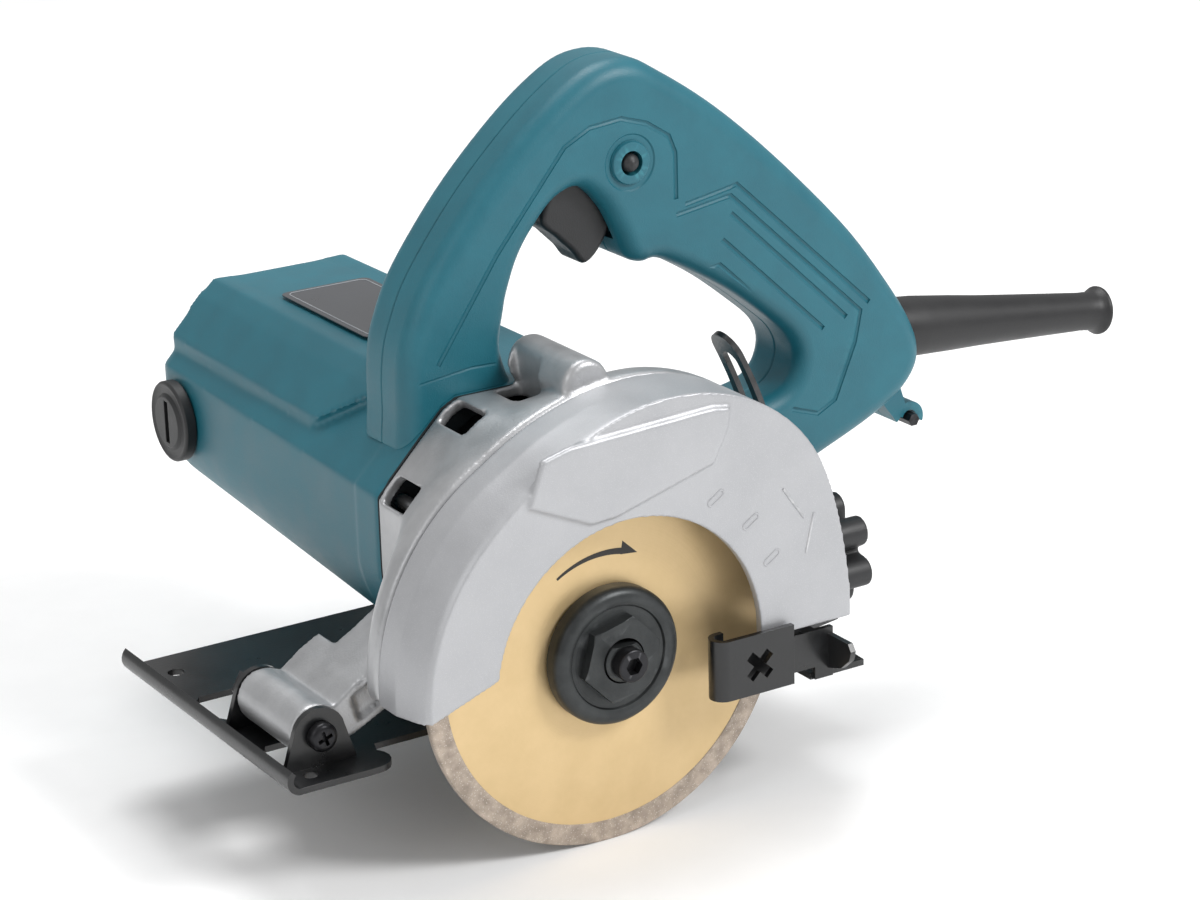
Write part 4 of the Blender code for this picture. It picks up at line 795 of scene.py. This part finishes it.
CORD_WAY = Vector((0.9933, 0.0, -0.1155)).normalized()
CORD_ROOT = (141.5, HANDLE_MID_Y, 50.0)
LOCK_SPOT = (37.5, 0, 118.5)
KEY_X, KEY_Z = 136.0, 24.5
ROUND_EDGE = [(1 - sin(pi / 2 * i / 8), 1 - cos(pi / 2 * i / 8)) for i in range(9)]


def smooth_loop(points, steps):
    """A closed curve through the points."""
    curve, count = [], len(points)
    for i in range(count):
        before, start, end, after = (Vector(points[(i + k) % count]) for k in (-1, 0, 1, 2))
        for k in range(steps):
            t = k / steps
            bend = (2 * start + (end - before) * t
                    + (2 * before - 5 * start + 4 * end - after) * t * t
                    + (3 * start - before - 3 * end + after) * t ** 3) * 0.5
            curve.append((bend.x, bend.y))
    return curve


def rounded_rings(outline, flat, face, radius):
    """From the parting plane, with its broken edge, to a face with a rounded edge."""
    toward, seam = (1.0 if face > flat else -1.0), 0.25
    return ([(flat, grown(outline, -seam)), (flat + toward * seam, outline)]
            + [(face - toward * radius * depth, grown(outline, -radius * inset))
               for depth, inset in ROUND_EDGE])


GRIP_LINES = [
    [(52, 106), (52, 119), (50, 124), (43, 128.5), (35, 131), (25, 130), (17, 126), (-5, 100),
     (-24, 73)],
    [(55, 104), (70, 106.5), (72, 107), (117, 65)],
    [(52, 101.5), (69, 104), (70, 104), (114, 63), (112, 54), (105, 38), (99, 35), (90, 38)],
    [(70, 99), (109, 62)], [(67, 92), (101, 60)],
    [(94, 59), (66, 85), (62.5, 84.5), (61.5, 82), (63, 80)]]


def handle_half(name, side):
    flat, face = HANDLE_MID_Y + side * 0.15, HANDLE_MID_Y + side * 13.0
    outer, inner = smooth_loop(HANDLE_OUTER_POINTS, 5), smooth_loop(HANDLE_INNER_POINTS, 5)
    half = skinned(name + "_moulding", rounded_rings(outer, flat, face, 6.0), paint=teal_nylon)
    space = slab("space", grown(smooth_loop(HANDLE_OUTER_POINTS, 2), -3.3), 'y', flat - side,
                 face - side * 3.0)
    posts = [turned("post", [(-1.0, 4.4), (13.0, 4.4)], (x, HANDLE_MID_Y, z),
                    Vector((0, side, 0)), 24) for x, z in HANDLE_SCREWS]
    carve(space, [slab("keep", grown(smooth_loop(HANDLE_INNER_POINTS, 2), 3.0), 'y',
                       flat - side * 2, face)] + posts)
    flare = [(flat - side, grown(inner, 0.3)), (flat, grown(inner, 0.3)), (flat + side * 0.3, inner)]
    flare += [(face - side * 5.0 * depth, grown(inner, 5.0 * inset)) for depth, inset in ROUND_EDGE]
    flare.append((face + side * 2, grown(inner, 5.0)))
    tools = [space, skinned("opening", flare)]
    tools.append(skinned("seat", [(y, housing_outline(y, 0.35)) for y in (30.0, 60.0, 90.0)]))
    near, far = sorted((HANDLE_MID_Y - side * 2, HANDLE_MID_Y + side * 6.6))
    tools.append(block("mouth", (12.5, near, 96.0), (38.5, far, 119.5)))
    tools.append(turned("cord_hole", [(-24, 9.35), (10, 9.35)], CORD_ROOT, CORD_WAY, 64))
    for x, z in HANDLE_SCREWS:
        profile = [(-2.0, 2.2), (9.5, 2.2)]
        if side > 0:
            profile = [(-2.0, 2.2), (9.6, 2.2), (9.6, 4.3), (15.0, 4.3)]
        tools.append(turned("bore", profile, (x, HANDLE_MID_Y, z), Vector((0, side, 0)), 32))
    carve(half, tools)
    hook = slab("hook", arc((KEY_X, KEY_Z), 5.0, -20, 165, 20) + arc((KEY_X, KEY_Z), 2.5, 165, -20, 16),
                'y', *sorted((flat, flat + side * 7.0)))
    stem = slab("stem", [(131.5, 24.0), (135.0, 27.8), (131.5, 38.0), (125.0, 32.5)], 'y',
                *sorted((flat + side * 0.01, flat + side * 6.99)))
    carve(hook, [stem], 'UNION')
    carve(hook, [turned("rod", [(30, 2.4), (80, 2.4)], (KEY_X, 0, KEY_Z), sides=40)])
    carve(half, [hook], 'UNION')
    grooves = [wires("grooves", [[(x, face + side * 0.26, z) for x, z in line]], 0.86, sides=2)
               for line in GRIP_LINES]
    foot = [(-40.0, 67.5), (-14.0, 70.5), (1.0, 70.0)]
    grooves.append(wires("grooves", [[(x, face + side * 0.28, z) for x, z in foot]], 0.6, sides=2))
    if side < 0:
        ring = turned("lock_boss", [(40.1, 5.2), (40.25, 5.7), (40.6, 5.95), (41.5, 6.1),
                                    (47, 6.1)], LOCK_SPOT, sides=64)
        carve(half, [ring], 'UNION')
        grooves.append(turned("lock_moat", [(40.5, 6.2), (40.5, 8.6), (41.35, 7.6), (41.35, 6.2)],
                              LOCK_SPOT, sides=64, ring=True))
        grooves.append(turned("lock_hole", [(37, 3.4), (56, 3.4)], LOCK_SPOT, sides=48))
    carve(half, grooves)
    crisp(half, 28)
    fit(half, "housing", "teal_nylon", name)


handle_half("handle_blade_half", -1)
handle_half("handle_motor_half", 1)


# ---------------------------------------------------------------- trigger and lock button
# A hollow-faced nylon trigger in the grip's mouth, and the pin with a ball end that
# holds it on.
def trigger():
    outline = smooth_loop([(17.5, 113), (13.6, 104.5), (18.5, 99.0), (23.0, 94.5), (26.5, 90.5),
                           (31.0, 93.0), (35.5, 100.0), (36.8, 107.5), (33.0, 112.2),
                           (25.0, 114.8)], 6)
    rings = []
    for side in (-1, 1):
        rings += [(HANDLE_MID_Y + side * (6.0 - 1.6 * depth), grown(outline, -1.6 * inset))
                  for depth, inset in ROUND_EDGE[::side]]
    made = skinned("trigger_moulding", rings, paint=dark_plastic)
    crisp(made, 50)
    fit(made, "trigger", "dark_plastic", "trigger")


def lock_button():
    ball = [(39.15 + 1.9 * (1 - cos(radians(a))), 2.55 * sin(radians(a))) for a in range(15, 91, 15)]
    made = turned("lock_button_ball",
                  [(39.1, 0.5)] + ball + [(42.0, 2.6), (42.0, 2.2), (49.5, 2.2)],
                  LOCK_SPOT, sides=48, paint=dark_plastic)
    fit(crisp(made, 50), "lock_button", "dark_plastic", "lock_button")


def trigger_spring():
    """Wire spring above the trigger, towards the switch; here it keeps one fixed length."""
    x, foot, rise, coil_r = 22.0, 115.8, 4.9, 2.4
    coils = [(x + coil_r * cos(pi * i / 16), HANDLE_MID_Y + coil_r * sin(pi * i / 16),
              foot + rise * i / 96) for i in range(97)]
    spring = wires("trigger_spring_coil", [coils], 0.35, ground_steel, sides=2)
    fit(crisp(spring), "housing", "bright_steel", "trigger_spring")
    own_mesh(spring)


trigger()
lock_button()
trigger_spring()


# ---------------------------------------------------------------- cord guard
# Moulded rubber sleeve held by its collar in the handle. It thins towards a thin rolled
# end, and the lead stops inside that end.
black_rubber = finish("black_rubber", (0.009, 0.009, 0.010), (0.014, 0.014, 0.015), (0.42, 0.56), 0.0,
                      (1500.0, 0.22), 70.0, wear=((0.040, 0.040, 0.042), 0.55, 0.68))


def cord_guard():
    sleeve = [(-15.5, 4.4), (-15.5, 8.8), (0.0, 8.9), (2.0, 8.8), (14.0, 8.2), (25.0, 7.5),
              (38.0, 6.9), (52.0, 6.3), (64.0, 5.8), (68.0, 5.9), (69.6, 6.4), (70.6, 7.1),
              (71.2, 7.4), (71.8, 7.3), (72.0, 7.0), (72.0, 4.7), (71.6, 4.4)]
    made = turned("cord_guard_sleeve", sleeve, CORD_ROOT, CORD_WAY, 72, black_rubber, ring=True)
    fit(crisp(made, 50), "housing", "black_rubber", "cord_guard")


cord_guard()


# ---------------------------------------------------------------- base and depth parts
# Pressed steel in a semi-gloss black coat: the sole with its curled front edge, two ears
# for the pivot bolt, the strap outside the blade, and the slotted depth guide.
black_coat = finish("black_coated_steel", (0.0045, 0.0050, 0.0056), (0.0075, 0.0080, 0.0090),
                    (0.26, 0.36), 0.0, (1100.0, 0.12), 60.0,
                    wear=((0.030, 0.030, 0.032), 0.56, 0.72), coat=0.2)
zinc_steel = finish("zinc_plated_steel", (0.50, 0.51, 0.52), (0.62, 0.63, 0.64), (0.26, 0.38), 0.95,
                    (1400.0, 0.12), 90.0)


def edged_copy(node, title, paint, width, slot):
    """The pressed or turned part as the frame has it, with its edges broken."""
    source = frame["nodes"][node]
    bm = bmesh.new()
    bm.from_mesh(source.data)
    bmesh.ops.remove_doubles(bm, verts=bm.verts, dist=2e-6)
    bmesh.ops.dissolve_limit(bm, angle_limit=radians(0.3), verts=bm.verts, edges=bm.edges)
    made = piece(title, bm, paint)
    break_edges(made, width, 2, 34)
    body = next(b for b, nodes in frame["record"]["behaviour"]["bodies"].items() if node in nodes)
    return fit(made, body, slot, node)


edged_copy("base_plate", "base_pressing", black_coat, 0.35, "black_steel")
edged_copy("pivot_nut", "pivot_lock_nut", black_screw, 0.3, "black_steel")
edged_copy("guide_rivet", "guide_round_rivet", zinc_steel, 0.15, "bright_steel")


GUIDE_R = 159.0


def guide_strip(name, start, end, half, thick, steps, both_ends):
    """A bar that follows the guide's arc about the pivot, rounded at its far end or at both."""
    bm = bmesh.new()
    loops = []
    for i in range(steps + 1):
        share = (1 - cos(pi * i / steps)) / 2
        angle = radians(start + (end - start) * share)
        left = min((radians(end) - angle) * GUIDE_R,
                   (angle - radians(start)) * GUIDE_R if both_ends else half)
        width = half if left >= half else max(half ** 2 - (half - left) ** 2, 0.04) ** 0.5
        corners = []
        for out, across in ((-thick, -width), (thick, -width), (thick, width), (-thick, width)):
            radius = GUIDE_R + out
            corners.append(bm.verts.new(at(PIVOT[0] + radius * cos(angle), GUIDE_Y + across,
                                           PIVOT[1] + radius * sin(angle))))
        loops.append(closed_loop(bm, corners))
    return bridged(name, bm, loops, black_coat)


def depth_guide():
    strip = guide_strip("depth_guide_strip", -3.05, 29.4, 6.2, 0.8, 150, False)
    carve(strip, [block("foot", (79.8, GUIDE_Y - 6.2, -18.4), (91.8, GUIDE_Y + 6.2, -16.8))],
          'UNION')
    carve(strip, [guide_strip("slot", -0.6, 27.2, 3.4, 4.0, 100, True),
                  turned("rivet_hole", [(-20.5, 2.3), (-14.5, 2.3)], (87.2, GUIDE_Y, 0), 'z', 32)])
    fit(break_edges(strip, 0.2, 2, 40), "base", "black_steel", "depth_guide")


depth_guide()


def pivot_bolt():
    head = [(12.2, 2.4), (12.35, 3.1), (12.8, 3.7), (13.4, 4.0), (15.0, 4.0), (15.2, 3.0), (55.6, 3.0),
            (56.0, 2.6)]
    bolt = turned("pivot_cross_bolt", head, (PIVOT[0], 0, PIVOT[1]), sides=48, paint=black_screw)
    carve(bolt, [slab("cross_arm", bar_outline(PIVOT, degrees, -2.1, 2.1, 0.5), 'y', 11.5, 13.9)
                 for degrees in (20, 110)])
    fit(break_edges(bolt, 0.12, 2), "base", "black_steel", "pivot_bolt")


pivot_bolt()


# ---------------------------------------------------------------- depth clamp
# A six-lobed nylon knob on a zinc stud: turned in, it presses its spacer on the guide.
def clamp_knob():
    outline = []
    for lobe in range(6):
        middle = 60.0 * lobe + 20.0
        spot = polar(11.7, middle, (GUIDE_Y, CLAMP_Z))
        outline += arc(spot, 4.4, middle - 92, middle + 92, 20)
        outline += arc((GUIDE_Y, CLAMP_Z), 8.6, middle + 26, middle + 34, 3)
    knob = slab("clamp_knob_lobes", outline, 'x', 92.2, 102.0, dark_plastic)
    carve(knob, [turned("crown", [(94.0, 7.6), (101.5, 7.6), (103.0, 6.6), (103.4, 5.6)],
                        (0, GUIDE_Y, CLAMP_Z), 'x')], 'UNION')
    carve(knob, [turned("bore", [(70, 3.3), (99.2, 3.3)], (0, GUIDE_Y, CLAMP_Z), 'x', 40)])
    mould(knob, 0.42, 4)
    fit(knob, "depth_clamp", "dark_plastic", "depth_clamp_knob")


clamp_knob()
edged_copy("depth_clamp_spacer", "clamp_spacer", dark_plastic, 0.3, "dark_plastic")
edged_copy("depth_clamp_stud", "clamp_stud", zinc_steel, 0.2, "bright_steel")


# ---------------------------------------------------------------- hexagon key
# Bent steel key, black oxidised, kept in the clip below the handle's rear end.
def hexagon_key():
    bend_y, bend_r, short_end_x, bend_steps = 66.5, 5.0, 112.0, 12
    path = [(KEY_X, 44.5, KEY_Z), (KEY_X, bend_y, KEY_Z)]
    for i in range(1, bend_steps + 1):
        angle = pi / 2 * i / bend_steps
        path.append((KEY_X - bend_r * (1 - cos(angle)), bend_y + bend_r * sin(angle), KEY_Z))
    path.append((short_end_x, bend_y + bend_r, KEY_Z))
    key = wires("hexagon_key", [path], 1.98, black_screw, sides=1)
    break_edges(key, 0.12, 2, 40)
    fit(key, "hex_wrench", "black_steel", "hex_wrench")


hexagon_key()


# ---------------------------------------------------------------- screws and the inside
# Gears, bearings, motor and switch as the frame has them, each in its own finish.
copper = finish("copper_bars_and_wire", (0.50, 0.20, 0.085), (0.66, 0.29, 0.13), (0.30, 0.44), 1.0,
                (1300.0, 0.3), 120.0, rings=(MOTOR_AXIS, 1500.0, 0.2))
laminations = finish("stacked_laminations", (0.14, 0.14, 0.145), (0.22, 0.22, 0.225), (0.44, 0.58),
                     0.9, (1700.0, 0.4), 120.0)
carbon = finish("pressed_carbon", (0.012, 0.012, 0.012), (0.022, 0.022, 0.022), (0.55, 0.70), 0.0,
                (1900.0, 0.4), 150.0)
INSIDE = (
    (blackened_steel, ("inner_flange",)),
    (ground_steel, ("spindle_front_bearing", "spindle_rear_bearing", "armature_front_bearing",
                    "armature_rear_bearing", "drive_gear", "motor_pinion", "armature_shaft")),
    (zinc_steel, ["brush_holder_front", "brush_holder_rear", "guard_screw_1", "guard_screw_2"]
     + [f"{case}_screw_{number}" for case in ("housing", "handle") for number in range(1, 5)]),
    (cast_aluminium, ("bearing_plate",)),
    (copper, ("commutator",)),
    (laminations, ("stator_core", "armature_core")),
    (carbon, ("carbon_brush_front", "carbon_brush_rear")),
    (dark_plastic, ("cooling_fan", "switch_body", "cord_clamp")),
    (black_rubber, ("supply_lead",)))
for paint, nodes in INSIDE:
    for node in nodes:
        frame["nodes"][node].material_slots[0].material = paint


# ---------------------------------------------------------------- floor and light
# A plain white floor under the blade and three soft lamps in a white room.
def studio():
    bm = bmesh.new()
    bmesh.ops.create_grid(bm, x_segments=1, y_segments=1, size=6.0)
    bmesh.ops.translate(bm, vec=(0, 0, -0.0345), verts=bm.verts)
    floor = piece("floor", bm, finish("floor_paint", (0.93, 0.93, 0.93), (0.95, 0.95, 0.95),
                                      (0.85, 0.95)))
    world = bpy.data.worlds.new("studio")
    world.use_nodes = True
    world.node_tree.nodes["Background"].inputs["Color"].default_value = (1.0, 1.0, 1.0, 1.0)
    world.node_tree.nodes["Background"].inputs["Strength"].default_value = 0.50
    bpy.context.scene.world = world
    bpy.context.scene.view_settings.view_transform = 'Standard'
    aim = Vector((0.0, 0.0, 0.05))
    for name, place, size, power in (("key", (0.9, -1.3, 1.3), 0.6, 27.0),
                                     ("side", (-1.5, -0.6, 0.9), 0.7, 4.0),
                                     ("top", (0.2, 0.5, 1.8), 0.9, 20.0)):
        lamp = bpy.data.lights.new(name, 'AREA')
        lamp.size = size
        lamp.energy = power
        holder = bpy.data.objects.new(name, lamp)
        holder.location = place
        holder.rotation_euler = (aim - Vector(place)).to_track_quat('-Z', 'Y').to_euler()
        bpy.context.scene.collection.objects.link(holder)


studio()
